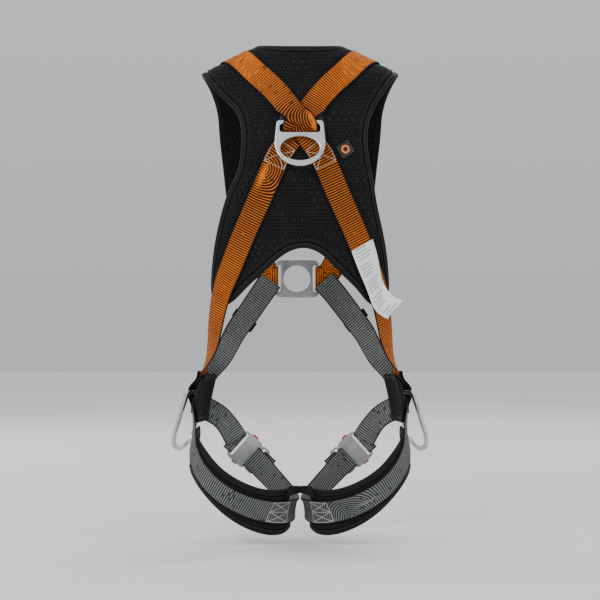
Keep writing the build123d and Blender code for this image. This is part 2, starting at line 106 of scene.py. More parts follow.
# ------------------------------------------------------------ wearer's form
MASSES = [
    ((0, 6, 250), (196, 116, 250)), ((0, -18, 330), (168, 108, 170)),
    ((0, 8, 20), (165, 96, 260)), ((0, -6, -122), (184, 110, 138)),
    ((98, -46, -208), (84, 84, 100)), ((-98, -46, -208), (84, 84, 100)),
]
LIMBS = [
    ((0, -28, 440), (0, -14, 700), 60),
    ((52, -22, 474), (208, -6, 405), 53), ((-52, -22, 474), (-208, -6, 405), 53),
    ((106, -6, -235), (105, 4, -560), 84), ((-106, -6, -235), (-105, 4, -560), 84),
]
MELT = 34.0 / 3


def gap(points):
    """Distance from each point to the wearer's form."""
    points = np.asarray(points, float)
    gaps = []
    for centre, radii in MASSES:
        q = (points - centre) / radii
        k0 = np.linalg.norm(q, axis=-1)
        k1 = np.linalg.norm(q / radii, axis=-1)
        gaps.append(k0 * (k0 - 1) / k1)
    for start, end, radius in LIMBS:
        axis = np.subtract(end, start)
        t = np.clip((points - start) @ axis / (axis @ axis), 0, 1)
        gaps.append(np.linalg.norm(points - start - t[..., None] * axis, axis=-1) - radius)
    nearest = np.min(gaps, axis=0)
    return nearest - MELT * np.log(np.exp((nearest - gaps) / MELT).sum(axis=0))


def unit(v):
    """Vectors of length 1."""
    return v / np.maximum(np.linalg.norm(v, axis=-1, keepdims=True), 1e-9)


def outward(points):
    points = np.asarray(points, float)
    return unit(np.stack([gap(points + e) - gap(points - e) for e in np.eye(3)], -1))


def settle(points, lift, rounds=8):
    points = np.asarray(points, float)
    for _ in range(rounds):
        points = points + outward(points) * (lift - gap(points))[..., None]
    return points


def dot(a, b):
    return (a * b).sum(-1, keepdims=True)


def behind(x, z, lift=0.0):
    """Points over the wearer's back, found by moving forward from behind."""
    points = np.stack(np.broadcast_arrays(np.asarray(x, float), -400.0, np.asarray(z, float)), -1)
    for _ in range(80):
        points[..., 1] += (gap(points) - lift) * 0.9
    return points


def seat(point, lift, towards):
    """Origin and x, y, z directions on the form: x towards a direction, z outward."""
    point = settle(point, lift)
    z = outward(point)
    x = unit(np.subtract(towards, z * np.dot(towards, z)))
    return point, x, np.cross(z, x), z


# --------------------------------------------------------------- curves
def spline(points):
    """Natural cubic through points as a function of chord length, and that length."""
    p = np.asarray(points, float)
    h = np.linalg.norm(np.diff(p[:, :3], axis=0), axis=1)
    t = np.concatenate([[0], np.cumsum(h)])
    n = len(p)
    a, b = np.eye(n), np.zeros_like(p)
    for i in range(1, n - 1):
        a[i, i - 1:i + 2] = h[i - 1], 2 * (h[i - 1] + h[i]), h[i]
        b[i] = 6 * ((p[i + 1] - p[i]) / h[i] - (p[i] - p[i - 1]) / h[i - 1])
    m = np.linalg.solve(a, b)

    def at(s):
        i = np.clip(np.searchsorted(t, s) - 1, 0, n - 2)
        u = ((t[i + 1] - s) / h[i])[:, None]
        w = 1 - u
        bend = ((u ** 3 - u) * m[i] + (w ** 3 - w) * m[i + 1]) * (h[i] ** 2)[:, None] / 6
        return u * p[i] + w * p[i + 1] + bend
    return at, t[-1]


def run_of(points):
    steps = np.linalg.norm(np.diff(points[:, :3], axis=0), axis=1)
    return np.concatenate([[0], np.cumsum(steps)])


def at_fractions(points, fractions):
    """Points on the polyline at fractions of its length."""
    run = run_of(points)
    places = np.asarray(fractions) * run[-1]
    return np.stack([np.interp(places, run, points[:, k]) for k in range(points.shape[1])], -1)


def curve(points, step=None, count=None):
    """Evenly spaced points on a smooth curve through the given ones."""
    at, end = spline(points)
    fine = at(np.linspace(0, end, 40 * len(points)))
    count = count or max(4, round(run_of(fine)[-1] / step) + 1)
    return at_fractions(fine, np.linspace(0, 1, count))


def step_smooth(x, low, high):
    t = np.clip((x - low) / (high - low), 0, 1)
    return t * t * (3 - 2 * t)


def waves(x, count, longest, seed):
    """Smooth seeded undulation of about unit height."""
    own = np.random.default_rng(seed)
    total = np.zeros_like(x, dtype=float)
    for k in range(count):
        total += np.sin(2 * np.pi * x / (longest / (1 + 0.7 * k)) + own.uniform(0, 6.3)) / count ** 0.5
    return total


# --------------------------------------------------------------- meshes
def mesh_object(name, verts, faces, material, corner_uv=None, values=None, smooth=True):
    """A mesh from millimetre points. corner_uv and values are given per vertex,
    or corner_uv per face corner."""
    mesh = bpy.data.meshes.new(name)
    mesh.from_pydata((np.asarray(verts) * MM).tolist(), [], [tuple(map(int, f)) for f in faces])
    if corner_uv is not None:
        layer = mesh.uv_layers.new(name="UVMap")
        loops = np.zeros(len(mesh.loops), int)
        mesh.loops.foreach_get("vertex_index", loops)
        uv = corner_uv if len(corner_uv) == len(loops) and len(loops) != len(verts) else corner_uv[loops]
        layer.data.foreach_set("uv", np.asarray(uv, float).ravel())
    for key, value in (values or {}).items():
        mesh.attributes.new(key, "FLOAT", "POINT").data.foreach_set("value", np.asarray(value, float))
    work = bmesh.new()
    work.from_mesh(mesh)
    bmesh.ops.recalc_face_normals(work, faces=work.faces)
    work.to_mesh(mesh)
    work.free()
    mesh.polygons.foreach_set("use_smooth", [smooth] * len(mesh.polygons))
    mesh.materials.append(material)
    made = bpy.data.objects.new(name, mesh)
    bpy.context.scene.collection.objects.link(made)
    return made


def place(piece, body=ROOT, stands_for=()):
    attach(piece, body)
    if stands_for:
        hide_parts(*stands_for)
    return piece


def quads(index):
    return np.stack([index[:-1, :-1], index[:-1, 1:], index[1:, 1:], index[1:, :-1]], -1).reshape(-1, 4)


def shell(name, top, low, material, u, v, values=None):
    """Closed piece between two grids of points. u and v are its flat coordinates in metres;
    v may be given for each point."""
    rows, cols = top.shape[:2]
    count = rows * cols
    index = np.arange(count).reshape(rows, cols)
    ring = np.concatenate([index[0], index[1:, -1], index[-1, -2::-1], index[-2:0:-1, 0]])
    after = np.roll(ring, -1)
    walls = np.stack([ring, after, after + count, ring + count], -1)
    faces = np.concatenate([quads(index), quads(index)[:, ::-1] + count, walls])
    verts = np.concatenate([top.reshape(-1, 3), low.reshape(-1, 3)])
    grid_v = v if np.ndim(v) == 2 else np.broadcast_to(np.asarray(v)[:, None], (rows, cols))
    grid_u = np.broadcast_to(u, (rows, cols))
    flat = np.stack([grid_u.ravel(), grid_v.ravel()], -1)
    both = {k: np.tile(np.ravel(x), 2) for k, x in (values or {}).items()}
    return mesh_object(name, verts, faces, material, np.tile(flat, (2, 1)), both)


def swept(name, places, rights, ups, section, material, closed=True):
    """A closed section (right, up) carried along places."""
    section = np.asarray(section, float)
    rows, cols = len(places), len(section)
    verts = (places[:, None] + rights[:, None] * section[None, :, :1] + ups[:, None] * section[None, :, 1:])
    index = np.arange(rows * cols).reshape(rows, cols)
    index = np.concatenate([index, index[:, :1]], 1)
    if closed:
        index = np.concatenate([index, index[:1]], 0)
    faces = [tuple(f) for f in quads(index)]
    if not closed:
        faces += [tuple(index[0, :-1]), tuple(index[-1, :-1])]
    across = np.concatenate([[0], np.cumsum(np.linalg.norm(np.diff(section, axis=0), axis=1))])
    v, w = np.meshgrid(run_of(places), across, indexing="ij")
    flat = np.stack([w.ravel(), v.ravel()], -1) * MM
    return mesh_object(name, verts.reshape(-1, 3), faces, material, flat)


def threads(name, places, ways, ups, length, radius, material, body=ROOT):
    """Short raised stitches, each lying along its way on its surface."""
    ways = unit(ways - ups * dot(ways, ups))
    sides = np.cross(ups, ways)
    ends, fat, sides_count = (-0.5, -0.32, 0, 0.32, 0.5), (0.25, 0.85, 1, 0.85, 0.25), 6
    angle = np.linspace(0, 2 * np.pi, sides_count, endpoint=False)
    local = np.array([(e * length, f * radius * np.cos(a), f * radius * np.sin(a) * 0.8)
                      for e, f in zip(ends, fat) for a in angle])
    local[:, 2] += -0.25 * radius * (np.abs(local[:, 0]) / (length / 2)) ** 2
    count = len(local)
    verts = (places[:, None] + ways[:, None] * local[None, :, :1] + sides[:, None] * local[None, :, 1:2]
             + ups[:, None] * local[None, :, 2:])
    index = np.arange(count).reshape(len(ends), sides_count)
    ring = np.concatenate([index, index[:, :1]], 1)
    base = [tuple(q) for q in quads(ring)]
    caps = [tuple(index[0, ::-1]), tuple(index[-1])]
    faces = []
    for k in range(len(places)):
        faces += [tuple(i + k * count for i in f) for f in base + caps]
    made = mesh_object(name, verts.reshape(-1, 3), faces, material)
    return place(made, body)


def sew(name, surface, rows, material, length=2.6, apart=0.7, radius=0.42, swing=0.0,
        body=ROOT):
    """Stitches along rows of flat corners (u, v) on a surface; swing tilts them into a zigzag."""
    spots, ways = [], []
    for row in rows:
        for a, b in zip(np.array(row[:-1], float), np.array(row[1:], float)):
            reach = np.linalg.norm(b - a)
            count = max(1, round(reach / (length + apart)))
            way = (b - a) / reach
            aside = swing * np.array([-way[1], way[0]])
            spots.append(a + (b - a) * ((np.arange(count) + 0.5) / count)[:, None])
            ways.append(way + np.where(np.arange(count) % 2, 1, -1)[:, None] * aside)
    spots, ways = np.concatenate(spots), unit(np.concatenate(ways))
    places, way, side, up = surface(spots[:, 0], spots[:, 1])
    return threads(name, places, side * ways[:, :1] + way * ways[:, 1:], up, length, radius,
                   material, body)


def box_row(u0, u1, v0, v1):
    return [(u0, v0), (u1, v0), (u1, v1), (u0, v1), (u0, v0)]


def crossed_box(u0, u1, v0, v1):
    return [box_row(u0, u1, v0, v1), [(u0, v0), (u1, v1)], [(u1, v0), (u0, v1)]]


def in_frame(axes, local):
    """World points from points in a frame given by origin, x, y, z."""
    origin, x, y, z = axes
    local = np.asarray(local, float)
    return origin + local[..., :1] * x + local[..., 1:2] * y + local[..., 2:] * z


def level_with(axes, height):
    """Surface for sew(): the plane at a height in a frame."""
    def surface(u, v):
        local = np.stack([u, v, np.full_like(u, height)], -1)
        shape = local.shape
        return (in_frame(axes, local), np.broadcast_to(axes[2], shape),
                np.broadcast_to(axes[1], shape), np.broadcast_to(axes[3], shape))
    return surface


def rounded(a, b, r, per=7):
    """Points round a rectangle with half sizes a and b and corner radius r."""
    points = []
    for k, (sx, sy) in enumerate(((1, 1), (-1, 1), (-1, -1), (1, -1))):
        angle = np.linspace(0, np.pi / 2, per) + k * np.pi / 2
        points.append(np.stack([sx * (a - r) + r * np.cos(angle), sy * (b - r) + r * np.sin(angle)], -1))
    return np.concatenate(points)


def circle(radius, count=48):
    angle = np.linspace(0, 2 * np.pi, count, endpoint=False)
    return np.stack([radius * np.cos(angle), radius * np.sin(angle)], -1)


def stacked(name, rings, axes, material):
    """A solid through outlines (outline, height) in a frame, capped at both ends."""
    local = np.array([np.column_stack([outline, np.full(len(outline), height)])
                      for outline, height in rings])
    rows, cols = local.shape[:2]
    index = np.arange(rows * cols).reshape(rows, cols)
    index = np.concatenate([index, index[:, :1]], 1)
    faces = [tuple(f) for f in quads(index)] + [tuple(index[0, :-1]), tuple(index[-1, :-1])]
    return mesh_object(name, in_frame(axes, local).reshape(-1, 3), faces, material)


def band(name, outline, height, axes, section, material):
    """A closed section carried round a flat outline in a frame."""
    places = in_frame(axes, np.column_stack([outline, np.full(len(outline), height)]))
    ways = unit(np.roll(places, -1, 0) - np.roll(places, 1, 0))
    ups = np.broadcast_to(axes[3], places.shape)
    return swept(name, places, np.cross(ways, ups), ups, section, material)


# --------------------------------------------------------------- materials
class Shade:
    """One material's nodes. The methods return output sockets."""

    def __init__(self, name, **fixed):
        self.material = bpy.data.materials.new(name)
        self.material.use_nodes = True
        self.tree = self.material.node_tree
        self.shader = self.tree.nodes["Principled BSDF"]
        for key, value in fixed.items():
            self.feed(self.shader.inputs[key.replace("_", " ")], value)
        self.coords = self.tree.nodes.new("ShaderNodeTexCoord")

    def feed(self, socket, value):
        if isinstance(value, bpy.types.NodeSocket):
            self.tree.links.new(value, socket)
        elif socket.type == "RGBA" and len(value) == 3:
            socket.default_value = (*value, 1.0)
        else:
            socket.default_value = value

    def node(self, kind, inputs=None, **settings):
        made = self.tree.nodes.new("ShaderNode" + kind)
        for key, value in settings.items():
            setattr(made, key, value)
        for key, value in (inputs or {}).items():
            self.feed(made.inputs[key], value)
        return made

    def math(self, operation, a, b=0.0):
        return self.node("Math", {0: a, 1: b}, operation=operation).outputs[0]

    def times(self, a, b):
        return self.math("MULTIPLY", a, b)

    def plus(self, a, b):
        return self.math("ADD", a, b)

    def minus(self, a, b):
        return self.math("SUBTRACT", a, b)

    def vector(self, operation, a, b=(0.0, 0.0, 0.0)):
        made = self.node("VectorMath", {0: a, 1: b}, operation=operation)
        return made.outputs["Value" if operation == "LENGTH" else "Vector"]

    def stretched(self, a, factors):
        return self.vector("MULTIPLY", a, factors)

    def uv(self):
        return self.coords.outputs["UV"]

    def here(self):
        return self.coords.outputs["Object"]

    def split(self, vector):
        return self.node("SeparateXYZ", {0: vector}).outputs

    def attribute(self, name):
        return self.node("Attribute", attribute_name=name).outputs["Fac"]

    def ramp(self, value, low, high, first=0.0, last=1.0):
        inputs = {"Value": value, "From Min": low, "From Max": high, "To Min": first, "To Max": last}
        return self.node("MapRange", inputs, interpolation_type="SMOOTHSTEP").outputs["Result"]

    def noise(self, vector, scale, detail=2.0, roughness=0.5):
        inputs = {"Vector": vector, "Scale": scale, "Detail": detail, "Roughness": roughness}
        return self.node("TexNoise", inputs).outputs["Fac"]

    def speckle(self, vector):
        return self.node("TexWhiteNoise", {"Vector": vector}).outputs["Value"]

    def mix(self, factor, a, b):
        return self.node("Mix", {0: factor, 6: a, 7: b}, data_type="RGBA").outputs[2]

    def wave(self, value, pitch):
        """Sine of a length in metres, with its pitch in millimetres."""
        return self.math("SINE", self.math("MULTIPLY", value, 2 * np.pi / (pitch * MM)))

    def lattice(self, flat, pitch):
        """Distance to the nearest point of a hexagonal lattice, as a share of its pitch."""
        cell = (1.0, 3 ** 0.5, 1.0)
        inverse = (1.0, 3 ** -0.5, 0.0)
        scaled = self.vector("MULTIPLY", flat, tuple(c / (pitch * MM) for c in inverse))
        found = []
        for shift in (0.0, 0.5):
            moved = self.vector("FRACTION", self.vector("ADD", scaled, (shift, shift, 0.0)))
            centred = self.vector("SUBTRACT", moved, (0.5, 0.5, 0.0))
            found.append(self.vector("LENGTH", self.vector("MULTIPLY", centred, cell)))
        return self.math("MINIMUM", *found)

    def finish(self, colour, roughness, height=None, depth=0.3, strength=1.0):
        self.feed(self.shader.inputs["Base Color"], colour)
        self.feed(self.shader.inputs["Roughness"], roughness)
        if height is not None:
            inputs = {"Height": height, "Distance": depth * MM, "Strength": strength}
            bump = self.node("Bump", inputs).outputs[0]
            self.feed(self.shader.inputs["Normal"], bump)
        return self.material


def webbing(name, bright, dark, selvedge, worn):
    """Woven strap: lines across it from the phase and duty values of its mesh."""
    s = Shade(name, Sheen_Weight=0.03, Sheen_Roughness=0.4, Specular_IOR_Level=0.15)
    flat = s.uv()
    u, v, _ = s.split(flat)
    wobble = s.times(s.minus(s.noise(flat, 90.0), 0.5), 0.22)
    cycle = s.math("FRACT", s.plus(s.attribute("phase"), wobble))
    off = s.times(s.math("ABSOLUTE", s.minus(cycle, 0.5)), 2.0)
    duty = s.attribute("duty")
    line = s.ramp(off, s.plus(duty, 0.16), s.minus(duty, 0.16))
    # Sparse lines break up into dashes; dense ones run through.
    broken = s.minus(0.66, s.times(duty, 0.75))
    strands = s.noise(s.stretched(flat, (70.0, 230.0, 1.0)), 1.0, 2.0)
    line = s.times(line, s.ramp(strands, broken, s.plus(broken, 0.06)))
    warp = s.times(s.wave(u, 1.5), 0.5)
    weave = s.times(s.wave(u, 1.5), s.wave(v, 1.1))
    ends = s.noise(s.stretched(flat, (900.0, 28.0, 1.0)), 1.0, 2.0)
    # Here and there a stretch of a line is a thick dash.
    cell = s.stretched(flat, (1 / 0.0095, 1 / 0.0044, 1.0))
    chosen = s.math("GREATER_THAN", s.speckle(s.vector("FLOOR", cell)), 0.93)
    fx, fy, _ = s.split(s.vector("FRACTION", cell))
    dash_u = s.ramp(s.math("ABSOLUTE", s.minus(fx, 0.5)), 0.45, 0.36)
    dash_v = s.ramp(s.math("ABSOLUTE", s.minus(fy, 0.5)), 0.28, 0.18)
    dash = s.times(chosen, s.times(dash_u, dash_v))
    fade = s.noise(s.here(), 14.0, 3.0)
    colour = s.mix(s.ramp(fade, 0.35, 0.7), bright, worn)
    colour = s.mix(s.ramp(ends, 0.3, 0.75, 0.0, 0.22), colour, dark)
    colour = s.mix(s.times(s.ramp(weave, -0.2, 1.0), 0.3), colour, dark)
    colour = s.mix(s.times(line, 0.98), colour, dark)
    colour = s.mix(s.times(dash, 0.85), colour, dark)
    edge = s.attribute("edge")
    colour = s.mix(s.ramp(edge, 0.35, 0.75), colour, selvedge)
    rough = s.ramp(s.noise(flat, 400.0), 0.3, 0.7, 0.66, 0.9)
    height = s.plus(s.times(weave, 0.3), s.times(line, -0.7))
    height = s.plus(height, warp)
    return s.finish(colour, rough, height, 0.22, 0.8)


def spacer_mesh(name, base, thread, speck):
    """Black spacer fabric: a fine knit, a few light threads, and dimples painted near black as painted
    shade in their holes.
    """
    s = Shade(name, Sheen_Weight=0.02, Sheen_Roughness=0.6, Specular_IOR_Level=0.12)
    flat = s.uv()
    pitch = 6.7
    hole = s.ramp(s.lattice(flat, pitch), 0.36, 0.2)
    rim = s.ramp(s.lattice(flat, pitch), 0.5, 0.36)
    between = s.vector("ADD", flat, (0.0033, 0.0058, 0.0))
    light = s.ramp(s.lattice(between, 2 * pitch), 0.075, 0.045)
    seen = s.ramp(s.noise(flat, 22.0, 1.0), 0.42, 0.6)
    light = s.times(light, seen)
    knit = s.noise(flat, 1400.0, 2.0)
    dust = s.noise(s.here(), 30.0, 4.0, 0.6)
    colour = s.mix(s.ramp(knit, 0.3, 0.75), base, thread)
    colour = s.mix(s.times(rim, 0.3), colour, thread)
    colour = s.mix(s.ramp(dust, 0.42, 0.75, 0.0, 0.35), colour, tuple(1.7 * c for c in thread))
    # Painted shade: the holes are painted near black in place of the shade that falls inside them.
    colour = s.mix(s.times(hole, 0.95), colour, (0.0004, 0.0004, 0.0004))
    colour = s.mix(s.times(light, 0.75), colour, speck)
    height = s.plus(s.times(knit, 0.2), s.times(hole, -1.0))
    height = s.plus(height, s.times(light, 0.4))
    return s.finish(colour, s.ramp(dust, 0.3, 0.7, 0.78, 0.95), height, 0.9, 1.0)


def tape(name, base, light):
    """Ribbed binding tape; u runs across it and v along it."""
    s = Shade(name, Sheen_Weight=0.02, Sheen_Roughness=0.5, Specular_IOR_Level=0.22)
    flat = s.uv()
    u, v, _ = s.split(flat)
    ribs = s.wave(v, 0.9)
    grain = s.noise(s.stretched(flat, (300.0, 1200.0, 1.0)), 1.0, 2.0)
    worn = s.ramp(s.noise(s.here(), 45.0, 4.0, 0.6), 0.5, 0.72)
    colour = s.mix(s.ramp(ribs, -0.6, 1.0), base, light)
    colour = s.mix(s.times(worn, 0.4), colour, tuple(2.2 * c for c in light))
    height = s.plus(s.times(ribs, 0.5), grain)
    return s.finish(colour, s.ramp(grain, 0.3, 0.7, 0.6, 0.8), height, 0.15, 0.7)


def thread_cloth(name, base, light):
    s = Shade(name, Sheen_Weight=0.1, Specular_IOR_Level=0.35)
    twist = s.wave(s.plus(*s.split(s.here())[:2]), 0.7)
    fleck = s.noise(s.here(), 600.0)
    colour = s.mix(s.ramp(s.plus(twist, fleck), -0.2, 1.3), base, light)
    return s.finish(colour, s.ramp(fleck, 0.3, 0.7, 0.5, 0.75), twist, 0.1, 0.6)


def metal(name, base, dull, low, high, metallic=1.0, stretch=(1.0, 1.0, 9.0)):
    """Satin metal: blasted grain, drawn scratches, and dull handling marks."""
    s = Shade(name, Metallic=metallic)
    here = s.here()
    drawn = s.noise(s.stretched(here, stretch), 420.0, 3.0, 0.6)
    grain = s.noise(here, 1500.0, 2.0)
    handled = s.noise(here, 38.0, 4.0, 0.6)
    scratch = s.ramp(s.noise(s.stretched(here, (60.0, 900.0, 500.0)), 1.0, 1.0), 0.69, 0.73)
    colour = s.mix(s.ramp(handled, 0.4, 0.72), base, dull)
    colour = s.mix(s.ramp(drawn, 0.35, 0.75, 0.0, 0.3), colour, dull)
    rough = s.plus(s.ramp(handled, 0.35, 0.7, low, high), s.times(drawn, 0.08))
    rough = s.minus(rough, s.times(scratch, 0.08))
    height = s.plus(s.times(grain, 0.6), s.times(drawn, 0.5))
    height = s.minus(height, scratch)
    return s.finish(colour, rough, height, 0.03, 0.55)


def moulded(name, base, worn, low=0.42, high=0.6):
    """Moulded plastic or rubber with a fine grain and rubbed places."""
    s = Shade(name, Specular_IOR_Level=0.45)
    here = s.here()
    grain = s.noise(here, 900.0, 2.0)
    rubbed = s.noise(here, 60.0, 4.0, 0.65)
    colour = s.mix(s.ramp(rubbed, 0.5, 0.78, 0.0, 0.6), base, worn)
    return s.finish(colour, s.ramp(rubbed, 0.3, 0.7, high, low), grain, 0.08, 0.6)


def label_film(name, white, grey):
    """Printed film with plain ruled bars; u and v in metres."""
    s = Shade(name, Specular_IOR_Level=0.5)
    flat = s.uv()
    u, v, _ = s.split(flat)
    spacing, left, right = 0.0062, 0.005, 0.037
    row = s.times(v, 1 / spacing)
    number = s.math("FLOOR", row)
    within = s.math("ABSOLUTE", s.minus(s.math("FRACT", row), 0.5))
    reach = s.times(s.speckle(s.node("CombineXYZ", {0: number}).outputs[0]), 0.016)
    bar = s.ramp(within, 0.30, 0.24)
    bar = s.times(bar, s.math("GREATER_THAN", u, left))
    bar = s.times(bar, s.math("LESS_THAN", u, s.minus(right, reach)))
    shown = s.math("LESS_THAN", s.math("FRACT", s.times(number, 0.2)), 0.75)
    soil = s.noise(s.here(), 40.0, 4.0, 0.6)
    crease = s.noise(s.stretched(flat, (30.0, 140.0, 1.0)), 1.0, 3.0)
    colour = s.mix(s.ramp(soil, 0.45, 0.8, 0.0, 0.5), white, tuple(0.72 * c for c in white))
    colour = s.mix(s.times(s.times(bar, shown), 0.6), colour, grey)
    return s.finish(colour, s.ramp(soil, 0.3, 0.7, 0.32, 0.5), crease, 0.5, 0.5)


def floor_paint(name, shade):
    s = Shade(name)
    cloud = s.noise(s.here(), 1.5, 3.0)
    colour = s.mix(cloud, tuple(0.97 * c for c in shade), shade)
    return s.finish(colour, s.ramp(cloud, 0.3, 0.7, 0.8, 0.9))


ORANGE = webbing("webbing_orange", (0.74, 0.175, 0.006), (0.010, 0.004, 0.002), (0.005, 0.005, 0.005),
                 (0.66, 0.145, 0.009))
GREY = webbing("webbing_grey", (0.25, 0.262, 0.262), (0.02, 0.021, 0.022), (0.01, 0.0105, 0.011),
               (0.19, 0.2, 0.2))
BLACK = webbing("webbing_black", (0.010, 0.010, 0.011), (0.003, 0.003, 0.003), (0.016, 0.016, 0.017),
                (0.014, 0.014, 0.015))
MESH = spacer_mesh("pad_mesh", (0.0036, 0.0036, 0.0043), (0.0115, 0.0115, 0.0135), (0.10, 0.10, 0.105))
BINDING = tape("binding_tape", (0.0016, 0.0016, 0.0018), (0.0048, 0.0048, 0.0053))
SEAM_THREAD = thread_cloth("seam_thread", (0.02, 0.02, 0.022), (0.06, 0.06, 0.063))
PALE_THREAD = thread_cloth("pale_thread", (0.45, 0.43, 0.38), (0.8, 0.77, 0.7))
DARK_THREAD = thread_cloth("dark_thread", (0.02, 0.018, 0.018), (0.06, 0.055, 0.05))
ALLOY = metal("ring_alloy", (0.64, 0.67, 0.7), (0.4, 0.42, 0.45), 0.17, 0.32)
STEEL = metal("hardware_steel", (0.55, 0.56, 0.58), (0.36, 0.37, 0.39), 0.3, 0.5, stretch=(9.0, 1.0, 1.0))
RED = metal("lever_red", (0.62, 0.03, 0.015), (0.4, 0.02, 0.012), 0.28, 0.42, metallic=0.75)
RUBBER = moulded("keeper_rubber", (0.012, 0.012, 0.013), (0.05, 0.05, 0.052))
BADGE = moulded("badge_rubber", (0.010, 0.010, 0.011), (0.04, 0.04, 0.042), 0.5, 0.7)
BADGE_EDGE = moulded("badge_border", (0.03, 0.028, 0.028), (0.08, 0.075, 0.075), 0.5, 0.7)
BADGE_RING = moulded("badge_ring", (0.85, 0.2, 0.015), (0.6, 0.15, 0.03), 0.4, 0.55)
LABEL = label_film("label_film", (0.8, 0.81, 0.81), (0.2, 0.21, 0.22))
FLOOR = floor_paint("floor", (0.78, 0.78, 0.77))


# --------------------------------------------------------------- webbing
def level_share(z):
    """1 where webbing lies level at the dorsal ring's bars, 0 where it lies square."""
    return np.clip((430 - z) / 25, 0, 1) * np.clip((z - 310) / 25, 0, 1)


COLUMNS = np.array([-1, -0.988, -0.96, -0.9, -0.8, -0.65, -0.5, -0.33, -0.16, 0,
                    0.16, 0.33, 0.5, 0.65, 0.8, 0.9, 0.96, 0.988, 1])
# Thickness across the webbing: rounded selvedges with a slight bead.
FULLNESS = np.array([0.35, 0.75, 1.06, 1.1, 1.02] + [1] * 9 + [1.02, 1.1, 1.06, 0.75, 0.35])


class Strap:
    """Webbing along guides (x, y, z, lift), as rows of points across it."""

    def __init__(self, guides, width=WEB_WIDTH, thick=WEB_THICK, level=False, flat=False,
                 ripple=0.3, step=4.0, seed=1):
        guides = np.array(guides, float)
        points = np.array([settle(g[:3], g[3]) for g in guides])
        line = curve(np.concatenate([points, guides[:, 3:]], 1), step=step)
        self.v = run_of(line)
        lift = line[:, 3] + ripple * (0.5 + 0.5 * np.clip(waves(self.v, 4, 130, seed), -1, 1))
        centre = settle(line[:, :3], lift)
        self.way = unit(np.gradient(centre, axis=0))
        up = outward(centre)
        up = unit(up - self.way * dot(up, self.way))
        side = unit(np.cross(self.way, up))
        self.shear = np.zeros(len(self.v))      # how far a section leans along the webbing
        if level:
            share = level_share(centre[:, 2])
            self.shear = -share * side[:, 2] / np.where(share > 0, self.way[:, 2], 1)
            side = side + self.way * self.shear[:, None]
        self.u = COLUMNS * width / 2
        rows = centre[:, None] + side[:, None] * self.u[None, :, None]
        ups = np.broadcast_to(up[:, None], rows.shape)
        if not flat:
            aside = unit(np.cross(side, up))[:, None]
            for _ in range(4):
                rows = settle(rows, lift[:, None], 2)
                rows = rows - aside * dot(rows - centre[:, None], aside)
            ups = outward(rows)
        body = thick * FULLNESS[None, :, None]
        slack = thick * (1 - np.minimum(FULLNESS, 1))[None, :, None] / 2
        self.low = rows + ups * slack
        self.top = rows + ups * (slack + body)
        self.ups = ups
        self.side = unit(side)
        self.width = width

    def at(self, u, v):
        """Places, ways, sides and ups on the outer face at flat coordinates."""
        u, v = np.broadcast_arrays(np.asarray(u, float), np.asarray(v, float))
        v = v - u * np.interp(v, self.v, self.shear)
        i = np.clip(np.searchsorted(self.v, v) - 1, 0, len(self.v) - 2)
        j = np.clip(np.searchsorted(self.u, u) - 1, 0, len(self.u) - 2)
        a = ((v - self.v[i]) / (self.v[i + 1] - self.v[i]))[..., None]
        b = ((u - self.u[j]) / (self.u[j + 1] - self.u[j]))[..., None]
        mixed = [(1 - a) * ((1 - b) * g[i, j] + b * g[i, j + 1])
                 + a * ((1 - b) * g[i + 1, j] + b * g[i + 1, j + 1]) for g in (self.top, self.ups)]
        way = (1 - a) * self.way[i] + a * self.way[i + 1]
        side = (1 - a) * self.side[i] + a * self.side[i + 1]
        return mixed[0], unit(way), unit(side), unit(mixed[1])

    def find(self, x, z):
        """Flat coordinates of the outer face's point nearest to x, z at the wearer's back."""
        in_front = self.top[..., 1] > 0
        reach = np.hypot(self.top[..., 0] - x, self.top[..., 2] - z) + 1e4 * in_front
        i, j = np.unravel_index(np.argmin(reach), reach.shape)
        return self.u[j], self.v[i] + self.u[j] * self.shear[i]

    def make(self, name, material, pattern, body=ROOT, stands_for=(), slot="webbing_orange"):
        grid_v, grid_u = np.meshgrid(self.v, self.u, indexing="ij")
        grid_v = grid_v + grid_u * self.shear[:, None]
        phase, duty = pattern(grid_u, grid_v)
        edge = np.clip((np.abs(grid_u) - self.width / 2 + 3.6) / 2.4, 0, 1)
        values = {"phase": phase, "duty": duty, "edge": edge}
        flat_u, flat_v = (self.u + self.width / 2) * MM, grid_v * MM
        made = shell(name, self.top, self.low, material, flat_u, flat_v, values)
        return place(made, body, stands_for)


def straight(pitch=LOOP_PITCH, duty=0.4):
    return lambda u, v: (v / pitch, np.full_like(v, duty))


def mirrored(points, side):
    """Points for the wearer's right side, or for the left where side is -1."""
    return [(side * p[0], *p[1:]) for p in points]


def at_chest(points, side):
    """Mirrored guides, moved with the chest ring at the end nearest to it."""
    reach = np.linspace(0, 1, len(points)) ** 2
    return [(p[0] + CHEST_AT[0] * r, *p[1:]) for p, r in zip(mirrored(points, side), reach)]


